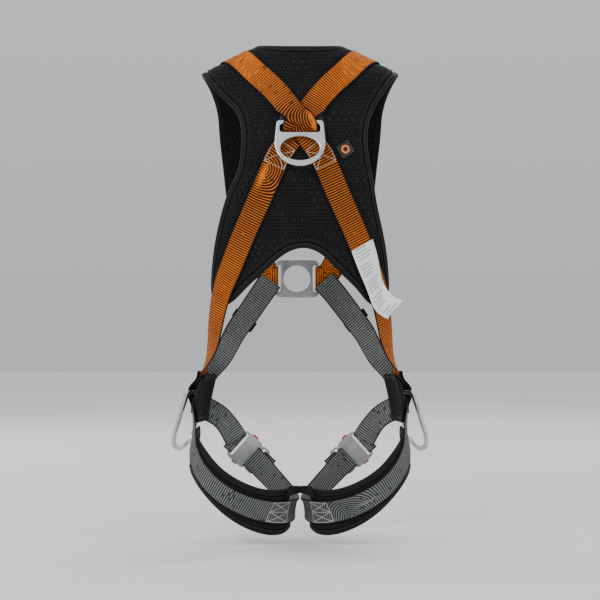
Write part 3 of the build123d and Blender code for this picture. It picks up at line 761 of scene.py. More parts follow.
def shoulder_guides(side):
    top = side < 0
    over = OVER_LIFT if top else UNDER_LIFT
    rise = TOP_RISE if top else 0.0
    return mirrored([
        (101, 120, 237, ON_PAD - 1.8), (105, 118, 252, ON_PAD), (114, 108, 300, ON_PAD),
        (119, 92, 390, ON_PAD), (120, 55, 460, ON_PAD), (119, -14, 500, ON_PAD),
        (102, -62, 500, ON_PAD), (82, -86, 480, ON_PAD), (60, -104, 459, ON_PAD),
        (30, -123, 424, 11.4 + rise), (15, -130, 405, 15.4 + rise), (2, -135, 391, over),
        (-5, -136, 378.5, over), (-11, -137, 366, BEHIND + rise), (-18, -138, 354, BEHIND + rise),
        (-27, -138, 341, ON_PAD + rise), (-37, -138, 326, ON_PAD + rise),
        (-51, -136, 298, ON_PAD),
        (-65, -128, 265, ON_PAD), (-97, -108, 196, ON_PAD), (-126, -82, 128, ON_PAD),
        (-143, -62, 88, ON_PAD), (-157, -46, 37, ON_PAD - 2), (-167, -32, 1, ON_BODY + 1),
        (-177, -8, -30, ON_BODY + 2), (-182, 16, -58, ON_PAD), (-184, 30, -98, ON_PAD)], side)


def torso_guides(side):
    return at_chest([
        (181, 42, -92, SECOND), (172, 54, -62, SECOND), (158, 70, -34, ON_BODY + 1),
        (133, 88, 6, ON_BODY), (105, 100, 42, ON_BODY), (84, 110, 70, ON_BODY),
        (64, 114, 94, ON_BODY - 1), (52, 117, 108, ON_BODY - 1.6)], side)


def chest_guides(side):
    return at_chest([
        (90, 122, 208, ON_BODY), (84, 122, 186, ON_BODY), (76, 122, 158, ON_BODY + 2),
        (66, 118, 134, ON_BODY + 4.5), (58, 117, 119, ON_BODY + 5.6)], side)


def leg_guides(side):
    return mirrored([
        (190, 22, -120, ON_PAD), (195, -8, -140, ON_PAD), (193, -50, -178, ON_PAD),
        (182, -88, -217, ON_PAD), (165, -105, -241, ON_PAD), (128, -118, -272, ON_PAD),
        (90, -115, -292, ON_PAD), (52, -93, -303, ON_PAD), (24, -52, -306, ON_PAD),
        (14, -10, -302, ON_PAD), (20, 34, -290, ON_PAD - 2), (44, 72, -264, ON_BODY),
        (68, 84, -242, ON_BODY), (92, 88, -220, ON_BODY)], side)


def leg_front_guides(side):
    return mirrored([
        (186, 44, -121, SECOND), (176, 58, -130, SECOND), (160, 70, -142, ON_BODY + 3),
        (140, 80, -164, ON_BODY), (122, 86, -188, ON_BODY)], side)


def arcs(centre, calm, calm_size, pitch=TRUNK_PITCH, reach=45.0):
    """Phase as rings round a centre, which open into straight lines beyond reach; calm is
    the middle of a patch with no lines, and calm_size its half width and half length."""
    def pattern(u, v):
        du, dv = u - centre[0], v - centre[1]
        along = np.abs(dv)
        away = along + (np.hypot(du, dv) - along) * np.exp(-(dv / reach) ** 2)
        patch = np.hypot((u - calm[0]) / calm_size[0], (v - calm[1]) / calm_size[1])
        return away / pitch, step_smooth(patch, 0.3, 1.5)
    return pattern


def shoulder_pattern(strap, side):
    """Left strap: arcs above the ring, even lines below. Right strap: the reverse."""
    ring_v = strap.find(0, 372)[1] + 12
    above = arcs(strap.find(23, 390), strap.find(25, 381), (5.0, 22.0)) if side < 0 else None
    below = arcs(strap.find(-66, 303), strap.find(-66, 292), (4.5, 24.0)) if side > 0 else None

    def pattern(u, v):
        phase, show = v / TRUNK_PITCH, np.ones_like(v)
        for rings, mask in ((above, v < ring_v), (below, v >= ring_v)):
            if rings:
                own_phase, own_show = rings(u, v)
                phase = np.where(mask, own_phase, phase)
                show = np.where(mask, own_show, show)
        from_ring = v - ring_v
        over = 0.74 - 0.26 * step_smooth(-from_ring, 35, 110) - 0.18 * step_smooth(-from_ring, 120, 185)
        under = 0.68 - 0.2 * step_smooth(from_ring, 110, 320)
        duty = np.where(from_ring < 0, over, under) * show
        front = step_smooth(-from_ring, 300, 380)
        return phase, duty * (1 - front) + 0.4 * front
    return pattern


shoulder, leg = {}, {}
for word, side in SIDES.items():
    strap = Strap(shoulder_guides(side), level=True, seed=3 + side)
    shoulder[word] = strap
    strap.make(f"strap_shoulder_{word}", ORANGE, shoulder_pattern(strap, side),
               stands_for=[f"shoulder_webbing_{word}"])
    strap = Strap(torso_guides(side), seed=11 + side)
    strap.make(f"strap_torso_{word}", GREY, straight(TRUNK_PITCH, 0.46),
               stands_for=[f"torso_webbing_{word}"], slot="webbing_grey")
    strap = Strap(chest_guides(side), seed=21 + side)
    strap.make(f"strap_chest_{word}", ORANGE, straight(TRUNK_PITCH, 0.42),
               stands_for=[f"chest_webbing_{word}"])
    end = strap.v[-1]
    sew(f"chest_sewing_{word}", strap.at, crossed_box(-HEM, HEM, end - 22, end - 3), PALE_THREAD)
    strap = Strap(leg_guides(side), seed=31 + side)
    leg[word] = strap
    swirl = straight(LEG_PITCH, 1.0)
    if side > 0:
        swirl = arcs(strap.find(95, -313), strap.find(118, -281), (3.0, 20.0), LEG_PITCH, 60.0)
    strap.make(f"strap_leg_{word}", GREY, lambda u, v, p=swirl: (p(u, v)[0], 0.56 * p(u, v)[1]),
               stands_for=[f"leg_webbing_{word}"], slot="webbing_grey")
    strap = Strap(leg_front_guides(side), seed=41 + side)
    strap.make(f"strap_leg_front_{word}", GREY, straight(LEG_PITCH, 0.45),
               stands_for=[f"leg_front_webbing_{word}"], slot="webbing_grey")


# --------------------------------------------------------------- sewing on the back
# Boxes just below the dorsal ring and where the leg webbing meets the pads' middle.
for word, side in SIDES.items():
    strap = shoulder[word]
    start = strap.find(-side * 27, 341)[1]
    rows = crossed_box(-HEM, HEM, start - 3, start + 38)
    sew(f"ring_sewing_{word}", strap.at, rows, PALE_THREAD, length=3.0, apart=-0.6, radius=0.4, swing=0.9)
    strap = leg[word]
    start, end = sorted((strap.find(side * 53, -302)[1], strap.find(side * 22, -304)[1]))
    middle = (start + end) / 2
    rows = [box_row(-HEM, HEM, start, end), [(0, start), (0, end)]]
    for low, high in ((-HEM, 0), (0, HEM)):
        rows += [[(low, start), (high, end)], [(high, start), (low, end)]]
    sew(f"leg_sewing_{word}", strap.at, rows, PALE_THREAD, length=2.6, apart=0.1, radius=0.6)
    rows = [[(-20, start - 4), (20, start - 4)], [(-20, end + 4), (20, end + 4)]]
    sew(f"leg_row_{word}", strap.at, rows, DARK_THREAD, length=2.2, apart=0.5, radius=0.35)


# --------------------------------------------------------------- pads
# Outlines as seen from behind, (z, half width) or (x, z), and rails over the shoulders.
HALF_WIDTH = [(60, 139), (75, 153), (91, 156), (125, 155), (162, 151), (215, 140), (250, 131),
              (280, 122), (301, 115), (335, 109), (363, 108), (390, 112), (405, 118)]
SEAM = [(118, 405), (103, 440), (85, 480), (66, 526)]
ARCH = [(-139, 60), (-126, 66), (-94, 96), (-61, 126), (-32, 152), (0, 166), (12, 166),
        (44, 150), (66, 127), (102, 91), (125, 66), (139, 60)]
NECK_RAIL = [(66, -62, 526), (82, -18, 528), (86, 25, 500), (86, 70, 455), (84, 95, 400),
             (82, 112, 320), (76, 118, 251)]
ARM_RAIL = [(118, -95, 405), (156, -64, 452), (176, -12, 476), (165, 40, 460), (158, 72, 415),
            (150, 90, 330), (138, 98, 251)]
EDGE_STEPS = [0, 2, 4.5, 7, 9, 11, 13.5, 17, 22]
# Rough lengths of the yoke in mm, which set how many points it gets.
SEAM_RUN, NECK_RUN, BACK_RUN, SHOULDER_RUN = 125.0, 132.0, 345.0, 500.0
NECK_DIP = 4.0


def crowded(width, coarse=6.5):
    """Fractions across a width in mm that crowd towards both its edges."""
    edge = np.array([e for e in EDGE_STEPS if e < width / 2 - 2.0])
    inner = width - 2 * edge[-1]
    middle = np.linspace(edge[-1], width - edge[-1], max(2, round(inner / coarse)) + 1)
    return np.concatenate([edge[:-1], middle, (width - edge[:-1])[::-1]]) / width


def along(points, fractions):
    """Points at fractions of a smooth curve's length."""
    return at_fractions(curve(points, count=400), fractions)


def coons(left, right, bottom, top, s, t):
    """Patch between four edges: left and right run with s, bottom and top with t."""
    s, t = s[:, None, None], t[None, :, None]
    rows = (1 - t) * left[:, None] + t * right[:, None]
    cols = (1 - s) * bottom[None] + s * top[None]
    corners = ((1 - s) * ((1 - t) * left[0] + t * right[0]) + s * ((1 - t) * left[-1] + t * right[-1]))
    return rows + cols - corners


def armhole_shift(z):
    """How far the back is worn off centre at a height."""
    return 8.0 * np.clip((z - 240) / 60, 0, 1) * np.clip((540 - z) / 80, 0, 1)


class Panel:
    """A pad's outline on the form: patches of points that may share a row."""

    def __init__(self):
        self.points = np.zeros((0, 3))
        self.faces = np.zeros((0, 4), int)
        self.uv = np.zeros((0, 4, 2))

    def add(self, grid, flat, known=None):
        """Adds a grid of points with its flat coordinates in mm; known are the numbers
        of its first row if it is there already."""
        rows, cols = grid.shape[:2]
        flat = np.asarray(flat, float) * MM
        start = len(self.points)
        if known is None:
            index = np.arange(rows * cols).reshape(rows, cols) + start
            self.points = np.concatenate([self.points, grid.reshape(-1, 3)])
        else:
            fresh = np.arange((rows - 1) * cols).reshape(rows - 1, cols) + start
            index = np.concatenate([known[None], fresh])
            self.points = np.concatenate([self.points, grid[1:].reshape(-1, 3)])
        self.faces = np.concatenate([self.faces, quads(index)])
        local = quads(np.arange(rows * cols).reshape(rows, cols))
        self.uv = np.concatenate([self.uv, flat.reshape(-1, 2)[local]])
        return index

    def rim(self):
        """Numbers of the points round the open edge, in order."""
        edges = np.concatenate([self.faces[:, [k, (k + 1) % 4]] for k in range(4)])
        keys, counts = np.unique(np.sort(edges, 1), axis=0, return_counts=True)
        beside = {}
        for a, b in keys[counts == 1]:
            beside.setdefault(int(a), []).append(int(b))
            beside.setdefault(int(b), []).append(int(a))
        start = min(beside)
        loop, last, here = [start], None, start
        while True:
            after = [n for n in beside[here] if n != last][0]
            if after == start:
                return np.array(loop)
            last, here = here, after
            loop.append(here)


def closed_run(points, step):
    """A closed line of points, evenly spaced and with its corners softened."""
    loop = np.concatenate([points, points[:1]])
    run = run_of(loop)
    count = round(run[-1] / step)
    loop = at_fractions(loop, np.arange(count) / count)
    for _ in range(5):
        loop = (np.roll(loop, 1, 0) + 2 * loop + np.roll(loop, -1, 0)) / 4
    return loop


def kd_tree(points):
    tree = kdtree.KDTree(len(points))
    for k, p in enumerate(points):
        tree.insert(p, k)
    tree.balance()
    return tree


strap_points = np.concatenate([s.low[::2, ::4].reshape(-1, 3) for s in (*shoulder.values(), *leg.values())])
STRAP_TREE = kd_tree(strap_points)
# Section of the binding: distance in from the edge, lift off the wearer.
BINDING_SECTION = [(9.2, 6.1), (8.6, 7.2), (6.0, 7.7), (3.0, 7.5), (0.6, 6.6), (-0.8, 5.0),
                   (-1.0, 3.6), (-0.4, 1.9), (1.4, 0.9), (5.0, 0.6), (8.8, 0.7), (9.2, 1.8)]


RIM_HEIGHT = 5.4            # of a pad beside its edge; it rises to its crown further in


def make_pad(name, panel, crown, stands_for, ridge=None, seed=1):
    """The pad's body, its binding, the binding's stitches and, if asked, a corded ridge."""
    rim = panel.points[panel.rim()]
    tree = kd_tree(closed_run(rim, 1.5))
    away = np.array([tree.find(p)[2] for p in panel.points])
    ups = outward(panel.points)
    height = RIM_HEIGHT + (crown - RIM_HEIGHT) * step_smooth(away, 8.5, 19.0)
    slow = waves(panel.points[:, 2] + 0.7 * panel.points[:, 0], 4, 90, seed)
    height = height + 0.22 * slow * step_smooth(away, 12, 30)
    place_out = panel.points + ups * height[:, None]
    near = np.array([STRAP_TREE.find(p)[2] for p in place_out])
    # The fabric is pressed down under the webbing and swells beside it.
    inner = step_smooth(away, 9, 16)
    swell = 0.75 * np.exp(-((near - 13) / 6) ** 2)
    height = height + inner * (swell - 0.7 * (1 - step_smooth(near, 4, 11)))
    top = panel.points + ups * height[:, None]
    low = panel.points + ups * PAD_IN
    count = len(top)
    ring = panel.rim()
    after = np.roll(ring, -1)
    walls = np.stack([ring, after, after + count, ring + count], -1)
    faces = np.concatenate([panel.faces, panel.faces[:, ::-1] + count, walls])
    wall_uv = np.zeros((len(walls), 4, 2))
    uv = np.concatenate([panel.uv, panel.uv[:, ::-1], wall_uv]).reshape(-1, 2)
    body = mesh_object(name, np.concatenate([top, low]), faces, MESH)
    layer = body.data.uv_layers.new(name="UVMap")
    # Face normals were made consistent, so corners are matched by face and vertex.
    table = {}
    for f, corner in zip(faces, uv.reshape(-1, 4, 2)):
        table[frozenset(map(int, f))] = {int(i): c for i, c in zip(f, corner)}
    flat = []
    for face in body.data.polygons:
        known = table[frozenset(face.vertices)]
        flat += [known[i] for i in face.vertices]
    layer.data.foreach_set("uv", np.array(flat).ravel())
    place(body, stands_for=stands_for)

    line = settle(closed_run(rim, 3.6), 0.0)
    ways = unit(np.roll(line, -1, 0) - np.roll(line, 1, 0))
    up = outward(line)
    inward = unit(np.cross(up, ways))
    middle = kd_tree(panel.points[away > 12])
    towards = np.array([np.array(middle.find(p)[0]) - p for p in line])
    if (dot(inward, towards) > 0).mean() < 0.5:
        inward = -inward
    binding = swept(f"{name}_binding", line, inward, up, BINDING_SECTION, BINDING)
    place(binding)
    binding.parent = body
    binding.matrix_parent_inverse.identity()

    def stitched(label, inset, lift, spacing, length, radius):
        row = closed_run(line + inward * inset, spacing)
        row = settle(row, lift)
        way = unit(np.roll(row, -1, 0) - np.roll(row, 1, 0))
        return threads(f"{name}_{label}", row, way, outward(row), length, radius, SEAM_THREAD)

    stitched("stitches", inset=7.4, lift=7.5, spacing=4.6, length=3.1, radius=0.42)
    if ridge:
        row = settle(closed_run(line + inward * ridge, 3.6), 0.0)
        way = unit(np.roll(row, -1, 0) - np.roll(row, 1, 0))
        up_row = outward(row)
        angle = np.linspace(0, 2 * np.pi, 10, endpoint=False)
        section = np.stack([1.9 * np.cos(angle), 7.7 + 1.5 * np.sin(angle)], -1)
        cord = swept(f"{name}_ridge", row, unit(np.cross(up_row, way)), up_row, section, BINDING)
        place(cord)
        stitched("ridge_stitches", inset=ridge + 3.0, lift=8.0, spacing=5.2, length=2.6, radius=0.4)
    return body


def flat_grid(rows, cols, a, b):
    """Flat coordinates in mm between two lines, at fractions along and across."""
    width = np.linalg.norm(a - b, axis=1).mean()
    length = (run_of(a)[-1] + run_of(b)[-1]) / 2
    v, u = np.meshgrid(rows * length, cols * width, indexing="ij")
    return np.stack([u, v], -1)


def back_yoke():
    """One padded sheet over the back and both shoulders."""
    heights, halves = (np.array(k, float) for k in zip(*HALF_WIDTH))

    def side_line(side):
        return np.stack([armhole_shift(heights) + side * halves, heights], -1)

    def seam_line(side):
        return np.array([(armhole_shift(z) + side * x, z) for x, z in SEAM], float)

    seam_t = crowded(SEAM_RUN)
    neck_t = crowded(NECK_RUN)[1:-1]
    flat_seams = {side: along(seam_line(side), seam_t) for side in (-1, 1)}
    neck_x = np.interp(neck_t, (0, 1), (flat_seams[-1][-1, 0], flat_seams[1][-1, 0]))
    dip = SEAM[-1][1] - NECK_DIP * np.sin(np.pi * neck_t)
    neckline = np.stack([neck_x, dip], -1)
    top = np.concatenate([flat_seams[-1], neckline, flat_seams[1][::-1]])
    t = run_of(np.concatenate([top, np.zeros((len(top), 1))], 1))
    t = t / t[-1]
    s = crowded(BACK_RUN)
    left, right = along(side_line(-1), s), along(side_line(1), s)
    left[-1], right[-1] = top[0], top[-1]
    bottom = along(np.array(ARCH, float), t)
    bottom[0], bottom[-1] = left[0], right[0]
    chart = coons(left, right, bottom, top, s, t)
    back = behind(chart[..., 0], chart[..., 1])
    panel = Panel()
    index = panel.add(back[::-1], chart[::-1])
    count = len(seam_t)
    rows = crowded(SHOULDER_RUN)
    for side in (-1, 1):
        known = index[0, :count] if side < 0 else index[0, ::-1][:count]
        seam = panel.points[known]
        arm = settle(np.array(mirrored(ARM_RAIL, side), float), 0.0)
        neck = settle(np.array(mirrored(NECK_RAIL, side), float), 0.0)
        arm[0], neck[0] = seam[0], seam[-1]
        arm_line, neck_line = along(arm, rows), along(neck, rows)
        width_t = seam_t[None, :, None]
        grid = arm_line[:, None] * (1 - width_t) + neck_line[:, None] * width_t
        first = arm_line[0] * (1 - seam_t[:, None]) + neck_line[0] * seam_t[:, None]
        bulge = (1 - rows[:, None, None]) ** 4 * (seam - first)[None]
        grid = settle(grid + bulge, 0.0)
        grid[0] = seam
        panel.add(grid, flat_grid(rows, seam_t, arm_line, neck_line), known)
    return panel


make_pad("yoke", back_yoke(), 8.2, ["back_pad", "shoulder_pad_left", "shoulder_pad_right"],
         ridge=14.0, seed=5)

LEG_TOP = [(198, 4, -158), (196, -40, -166), (172, -100, -190), (141, -127, -222),
           (104, -134, -246), (63, -120, -262), (30, -90, -266), (10, -62, -270)]
LEG_BOTTOM = [(189, 10, -240), (190, -36, -242), (174, -80, -274), (143, -95, -304),
              (109, -99, -325), (63, -87, -343), (28, -52, -346), (19, -20, -338)]
HIP_FRONT = [(172, 62, -62), (180, 62, -100), (186, 50, -150)]
HIP_BACK = [(184, -2, -62), (190, -10, -100), (196, -16, -150)]


def rail_panel(rail_a, rail_b, side, length, width):
    rows, cols = crowded(length), crowded(width, 5.0)
    a = along(settle(np.array(mirrored(rail_a, side), float), 0.0), rows)
    b = along(settle(np.array(mirrored(rail_b, side), float), 0.0), rows)
    grid = a[:, None] * (1 - cols[None, :, None]) + b[:, None] * cols[None, :, None]
    panel = Panel()
    panel.add(settle(grid, 0.0), flat_grid(rows, cols, a, b))
    return panel


for word, side in SIDES.items():
    make_pad(f"leg_cushion_{word}", rail_panel(LEG_TOP, LEG_BOTTOM, side, 300.0, 78.0), 8.6,
             [f"leg_pad_{word}"], ridge=12.5, seed=7 + side)
    make_pad(f"hip_cushion_{word}", rail_panel(HIP_FRONT, HIP_BACK, side, 90.0, 68.0), 8.3,
             [f"hip_pad_{word}"], seed=9 + side)


# --------------------------------------------------------------- loops round bars
CHEST_AXES = seat(CHEST_AT, ON_BODY + 6.5, (1, 0, 0))
ADJUSTER_AXES = {word: seat((side * ADJUSTER_AT[0], *ADJUSTER_AT[1:]), ON_BODY + WEB_THICK + 1.0,
                            (-side * 13, 0, -33)) for word, side in SIDES.items()}
BUCKLE_AXES = {word: seat((side * BUCKLE_AT[0], *BUCKLE_AT[1:]), ON_BODY + WEB_THICK + 3.0,
                          (-side * 45, -6, -40)) for word, side in SIDES.items()}


def bar_path(x0, x1, z0, z1, tail, clear=0.5):
    """Path (x, z) of webbing round a bar: out along the tail, round, and back onto it."""
    way = 1 if x1 > x0 else -1
    room = clear + WEB_THICK / 2
    low, high, far, near = z0 - room, z1 + room, x0 - way * room, x1 + way * room
    back = low + WEB_THICK + 0.1
    return [(near + way * tail, low), (near, low), (far, low), (far, high), (near, high),
            (near + way * 0.35 * tail, back), (near + way * (tail - 1.5), back)]


def ribbon(name, axes, path, material, stands_for, body=ROOT):
    """Webbing that follows a path (x, z) in a frame, across the frame's y."""
    width = WEB_WIDTH
    line = np.array([(x, 0.0, z) for x, z in path])
    line = at_fractions(line, np.linspace(0, 1, round(run_of(line)[-1] / 0.8)))
    for _ in range(7):
        line[1:-1] = (line[:-2] + 2 * line[1:-1] + line[2:]) / 4
    v, u = run_of(line), COLUMNS * width / 2
    way = unit(np.gradient(line, axis=0))
    normal = np.stack([-way[:, 2], 0 * way[:, 0], way[:, 0]], -1)
    rows = line[:, None] + np.array([0.0, 1.0, 0.0]) * u[None, :, None]
    half = normal[:, None] * (WEB_THICK / 2 * FULLNESS)[None, :, None]
    edge = np.clip((np.abs(u) - width / 2 + 3.6) / 2.4, 0, 1)
    shape = rows.shape[:2]
    values = {"phase": np.broadcast_to(v[:, None] / LOOP_PITCH, shape), "duty": np.full(shape, 0.42),
              "edge": np.broadcast_to(edge, shape)}
    made = shell(name, in_frame(axes, rows + half), in_frame(axes, rows - half), material,
                 (u + width / 2) * MM, v * MM, values)
    return place(made, body, stands_for)


def bar_loop(name, axes, bar, tail, material, node, thread, body=ROOT, clear=0.5):
    """A sewn webbing loop round the bar x0..x1, z0..z1 of a frame."""
    x0, x1, z0, z1 = bar
    ribbon(name, axes, bar_path(x0, x1, z0, z1, tail, clear), material, [node], body)
    way = 1 if x1 > x0 else -1
    start = x1 + way * (1.4 + 0.35 * tail + 1.5)
    end = x1 + way * (tail - 1.5)
    top = z0 - clear + WEB_THICK + 0.1
    rows = crossed_box(min(start, end), max(start, end), -18.5, 18.5)
    sew(f"{name}_sewing", level_with(axes, top), rows, thread, length=2.2, apart=0.5, radius=0.36,
        body=body)


for word, side in SIDES.items():
    bar_loop(f"loop_chest_{word}", CHEST_AXES, (side * 37.2, side * 44, -3, 3), 16.0, ORANGE,
             f"chest_loop_{word}", PALE_THREAD)
    bar_loop(f"loop_adjuster_{word}", ADJUSTER_AXES[word], (-12.6, -19, 0, 6), 11.0, ORANGE,
             f"adjuster_loop_{word}", PALE_THREAD, clear=0.4)
    bar_loop(f"loop_tongue_{word}", BUCKLE_AXES[word], (34, 42, 4.5, 8.5), 16.0, GREY,
             f"leg_tongue_loop_{word}", PALE_THREAD, f"leg_tongue_{word}")
    bar_loop(f"loop_buckle_{word}", BUCKLE_AXES[word], (-17, -22, 3.5, 8.5), 11.0, GREY,
             f"leg_body_loop_{word}", PALE_THREAD, clear=0.4)


# --------------------------------------------------------------- tails, keepers, lateral loops
def lateral_guides(side):
    """Webbing over the lateral ring's bar, sewn down above and below it."""
    low = SECOND + WEB_THICK + 1.4
    high = LATERAL_LIFT + BAR_ROOM
    x, y, z = LATERAL_AT
    return mirrored([
        (x - 3, y, z + 40, low), (x - 2, y, z + 24, low), (x - 1, y, z + 9, high - 2),
        (x, y, z, high), (x + 2, y, z - 9, high - 2), (x + 4, y, z - 24, low),
        (x + 6, y, z - 38, low)], side)


ABOVE = ON_BODY + WEB_THICK + 8.2      # lift of an adjuster's loose end over its frame
for word, side in SIDES.items():
    loop = Strap(lateral_guides(side), flat=True, ripple=0.1, step=2.5, seed=51 + side)
    loop.make(f"loop_lateral_{word}", BLACK, straight(LOOP_PITCH, 0.4), stands_for=[f"lateral_loop_{word}"],
              slot="webbing_black")
    end = loop.v[-1]
    rows = crossed_box(-HEM, HEM, 3, 20) + crossed_box(-HEM, HEM, end - 20, end - 3)
    sew(f"loop_lateral_{word}_sewing", loop.at, rows, SEAM_THREAD)
    tail = Strap(mirrored([(88, 122, 202, ABOVE), (84, 122, 188, ABOVE), (79, 122, 168, ABOVE - 5),
                           (74, 120, 150, ON_BODY + 8)], side),
                 flat=True, ripple=0.2, step=2.5, seed=61 + side)
    tail.make(f"tail_adjuster_{word}", ORANGE, straight(TRUNK_PITCH, 0.42),
              stands_for=[f"adjuster_tail_{word}"])
    hem = tail.v[-1] - 5
    sew(f"tail_adjuster_{word}_hem", tail.at, [[(-HEM, hem), (HEM, hem)]], DARK_THREAD)
    tail = Strap(mirrored([(48, 76, -262, ON_BODY + 4), (34, 60, -276, ON_BODY + 5),
                           (26, 44, -287, ON_BODY + 8)], side), ripple=0.2, step=2.5, seed=71 + side)
    tail.make(f"tail_leg_{word}", GREY, straight(LEG_PITCH, 0.45), stands_for=[f"leg_tail_{word}"],
              slot="webbing_grey")
    hem = tail.v[-1] - 4
    sew(f"tail_leg_{word}_hem", tail.at, [[(-HEM, hem), (HEM, hem)]], DARK_THREAD)
    over = ON_BODY + WEB_THICK + 1.2
    keeper = Strap(mirrored([(104, 100, 43, over), (110, 98, 35, over), (116, 96, 28, over)], side),
                   width=WEB_WIDTH + 6, thick=2.0, ripple=0.1, step=2.0, seed=81 + side)
    keeper.make(f"keeper_tail_{word}", BINDING, straight(), stands_for=[f"tail_keeper_{word}"],
                slot="keeper_black")

# The band that ties the leg pads together, with a bar of stitches at each end.
OVER_PADS = PAD_OUT + 1.8
bridge = Strap([(-24, -84, -266, OVER_PADS), (0, -66, -268, OVER_PADS), (24, -84, -266, OVER_PADS)],
               width=22.0, thick=2.6, ripple=0.1, step=2.5)
bridge.make("bridge", BINDING, straight(), stands_for=["crotch_bridge"], slot="pad_black")
rows = [[(-9, v), (9, v)] for v in (3, 5.5, bridge.v[-1] - 5.5, bridge.v[-1] - 3)]
sew("bridge_sewing", bridge.at, rows, SEAM_THREAD)


# --------------------------------------------------------------- badge and label
badge_axes = seat(behind(79, 337, PAD_OUT), PAD_OUT + 0.5, (0.87, 0, 0.5))
BADGE_THICK = 1.3
badge_rings = [(rounded(13, 12, 2.5), 0), (rounded(13, 12, 2.5), 1.0),
               (rounded(12.6, 11.6, 2.2), BADGE_THICK)]
badge = stacked("badge", badge_rings, badge_axes, BADGE)
place(badge, stands_for=["badge_tab"])
for name, outline, section, material in (
        ("badge_border", rounded(12.3, 11.3, 2.0), circle(0.45, 8), BADGE_EDGE),
        ("badge_ring", circle(6.0), rounded(1.5, 0.8, 0.5, 3), BADGE_RING)):
    place(band(name, outline, BADGE_THICK, badge_axes, section, material))
corners = rounded(10.6, 9.6, 1.5, 2)[[0, 2, 4, 6, 0]]
sew("badge_stitches", level_with(badge_axes, BADGE_THICK), [corners], SEAM_THREAD,
    length=1.6, apart=0.6, radius=0.28)

# Edges of the printed label (x, z) from its sewn top to its curled end, and its lift there.
LABEL_LEFT = [(91, 159), (106, 121), (122.7, 81.7), (136, 53), (156, 39)]
LABEL_RIGHT = [(129, 181), (140, 142), (150.6, 101), (165, 82), (184, 72)]
LABEL_LIFTS = [12.6, 13.2, 15.4, 18.5, 21.0]
LABEL_LONG, LABEL_WIDE, PAGE_THICK = 130.0, 42.0, 0.24
LABEL_ROWS, LABEL_COLUMNS = 44, 15


def label_page(number, inset, drop):
    """One page of the label booklet, inset at its edges and lying a little lower."""
    edges = [curve(np.column_stack([e, LABEL_LIFTS]), count=LABEL_ROWS)
             for e in (LABEL_LEFT, LABEL_RIGHT)]
    share = np.linspace(0, 1, LABEL_COLUMNS)
    ends = 1 - inset / LABEL_LONG
    rows = [at_fractions(e, np.linspace(0, ends, LABEL_ROWS)) for e in edges]
    trim = inset / LABEL_WIDE
    across = (trim + (1 - 2 * trim) * share)[None, :, None]
    grid = rows[0][:, None] * (1 - across) + rows[1][:, None] * across
    down = np.linspace(0, 1, LABEL_ROWS)[:, None]
    lift = grid[..., 2] - drop * (0.4 + 0.6 * down) + 1.1 * down * np.sin(np.pi * share)[None]
    middle = behind(np.minimum(grid[..., 0], 148), grid[..., 1], lift)
    middle[..., 0] = grid[..., 0]
    up = unit(np.cross(np.gradient(middle, axis=1), np.gradient(middle, axis=0)))
    up = up * np.where(up[..., 1:2] > 0, -1, 1)
    u = np.linspace(0, LABEL_WIDE, LABEL_COLUMNS) * MM
    v = run_of(middle[:, LABEL_COLUMNS // 2]) * MM
    half = up * PAGE_THICK / 2
    page = shell(f"label_page_{number}", middle + half, middle - half, LABEL, u, v)
    cross = np.cross(middle[1:, :-1] - middle[:-1, :-1], middle[:-1, 1:] - middle[:-1, :-1])
    return page, middle, np.linalg.norm(cross, axis=-1).sum() * MM ** 2


for number, (inset, drop) in enumerate(((0.0, 0.0), (0.5, 0.55), (1.1, 1.1)), 1):
    page, middle, area = label_page(number, inset, drop)
    place(page, stands_for=["inspection_label"] if number == 1 else ())
    if number == 1:
        row = curve(middle[1, 1:-1], step=2.8)
        ups = unit(outward(row))
        threads("label_stitches", row + ups * 0.1, np.gradient(row, axis=0), ups, 2.0, 0.35,
                SEAM_THREAD)


# --------------------------------------------------------------- metal and plastic
FINISHES = {"ring_alloy": ALLOY, "hardware_steel": STEEL, "lever_red": RED, "keeper_black": RUBBER}
for part in frame["record"]["subparts"]:
    node = frame["nodes"][part["node"]]
    if part["material_slot"] in FINISHES and not node.hide_render:
        node.data.materials.clear()
        node.data.materials.append(FINISHES[part["material_slot"]])


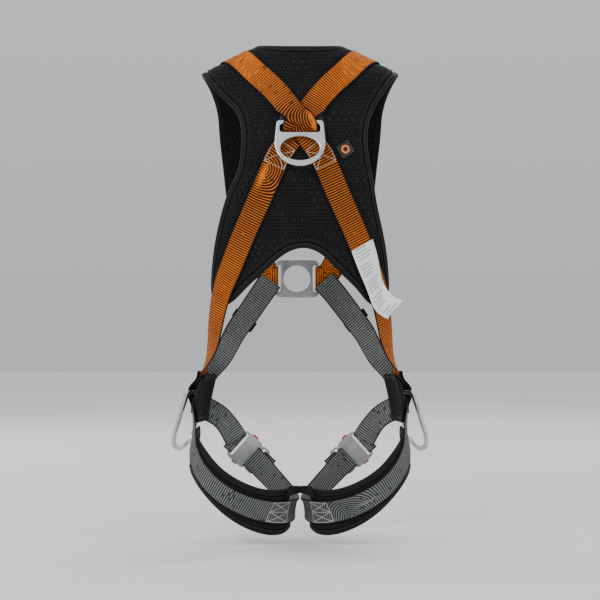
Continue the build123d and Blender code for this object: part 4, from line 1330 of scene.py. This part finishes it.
# --------------------------------------------------------------- camera and light
# These are in metres. The camera looks level from behind the wearer, at mid height.
FLOOR_Z = -0.365
CAMERA_AT, CAMERA_LENS, SENSOR = (0, -3.0, 0.073), 98.5, 36.0
bpy.ops.mesh.primitive_plane_add(size=14, location=(0, 0, FLOOR_Z))
ground = bpy.context.object
ground.name = "ground"
ground.data.materials.append(FLOOR)
ground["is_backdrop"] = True

camera_data = bpy.data.cameras.new("camera")
camera_data.lens = CAMERA_LENS
camera_data.sensor_width = SENSOR
camera = bpy.data.objects.new("camera", camera_data)
camera.location = CAMERA_AT
camera.rotation_euler = (np.pi / 2, 0, 0)
bpy.context.scene.collection.objects.link(camera)
bpy.context.scene.camera = camera


def softbox(name, location, target, size, power, tint=(1, 1, 1)):
    data = bpy.data.lights.new(name, "AREA")
    data.shape = "SQUARE"
    data.size = size
    data.energy = power
    data.color = tint
    lamp = bpy.data.objects.new(name, data)
    lamp.location = location
    lamp.rotation_euler = (Vector(target) - Vector(location)).to_track_quat("-Z", "Y").to_euler()
    bpy.context.scene.collection.objects.link(lamp)


softbox("key", (-1.6, -2.6, 1.9), (0, 0, 0.1), 1.6, 62)
softbox("fill", (2.4, -1.9, 0.8), (0, 0, 0.1), 1.8, 20, (0.95, 0.97, 1.0))
softbox("rim", (1.2, 2.4, 2.0), (0, 0, 0.2), 1.4, 30)
softbox("far", (-1.8, 2.2, 1.0), (0, 0, 0.1), 1.4, 18)
SKY = [(0.0, (0.62, 0.64, 0.66)), (0.55, (1.0, 1.0, 1.0))]
SKY_STRENGTH = 0.9
world = bpy.data.worlds.new("studio")
world.use_nodes = True
tree = world.node_tree
height = tree.nodes.new("ShaderNodeSeparateXYZ")
tree.links.new(tree.nodes.new("ShaderNodeTexCoord").outputs["Generated"], height.inputs[0])
shade = tree.nodes.new("ShaderNodeValToRGB")
for stop, (position, colour) in zip(shade.color_ramp.elements, SKY):
    stop.position = position
    stop.color = (*colour, 1)
tree.links.new(height.outputs[2], shade.inputs[0])
tree.links.new(shade.outputs[0], tree.nodes["Background"].inputs[0])
tree.nodes["Background"].inputs[1].default_value = SKY_STRENGTH
bpy.context.scene.world = world

low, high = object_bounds()
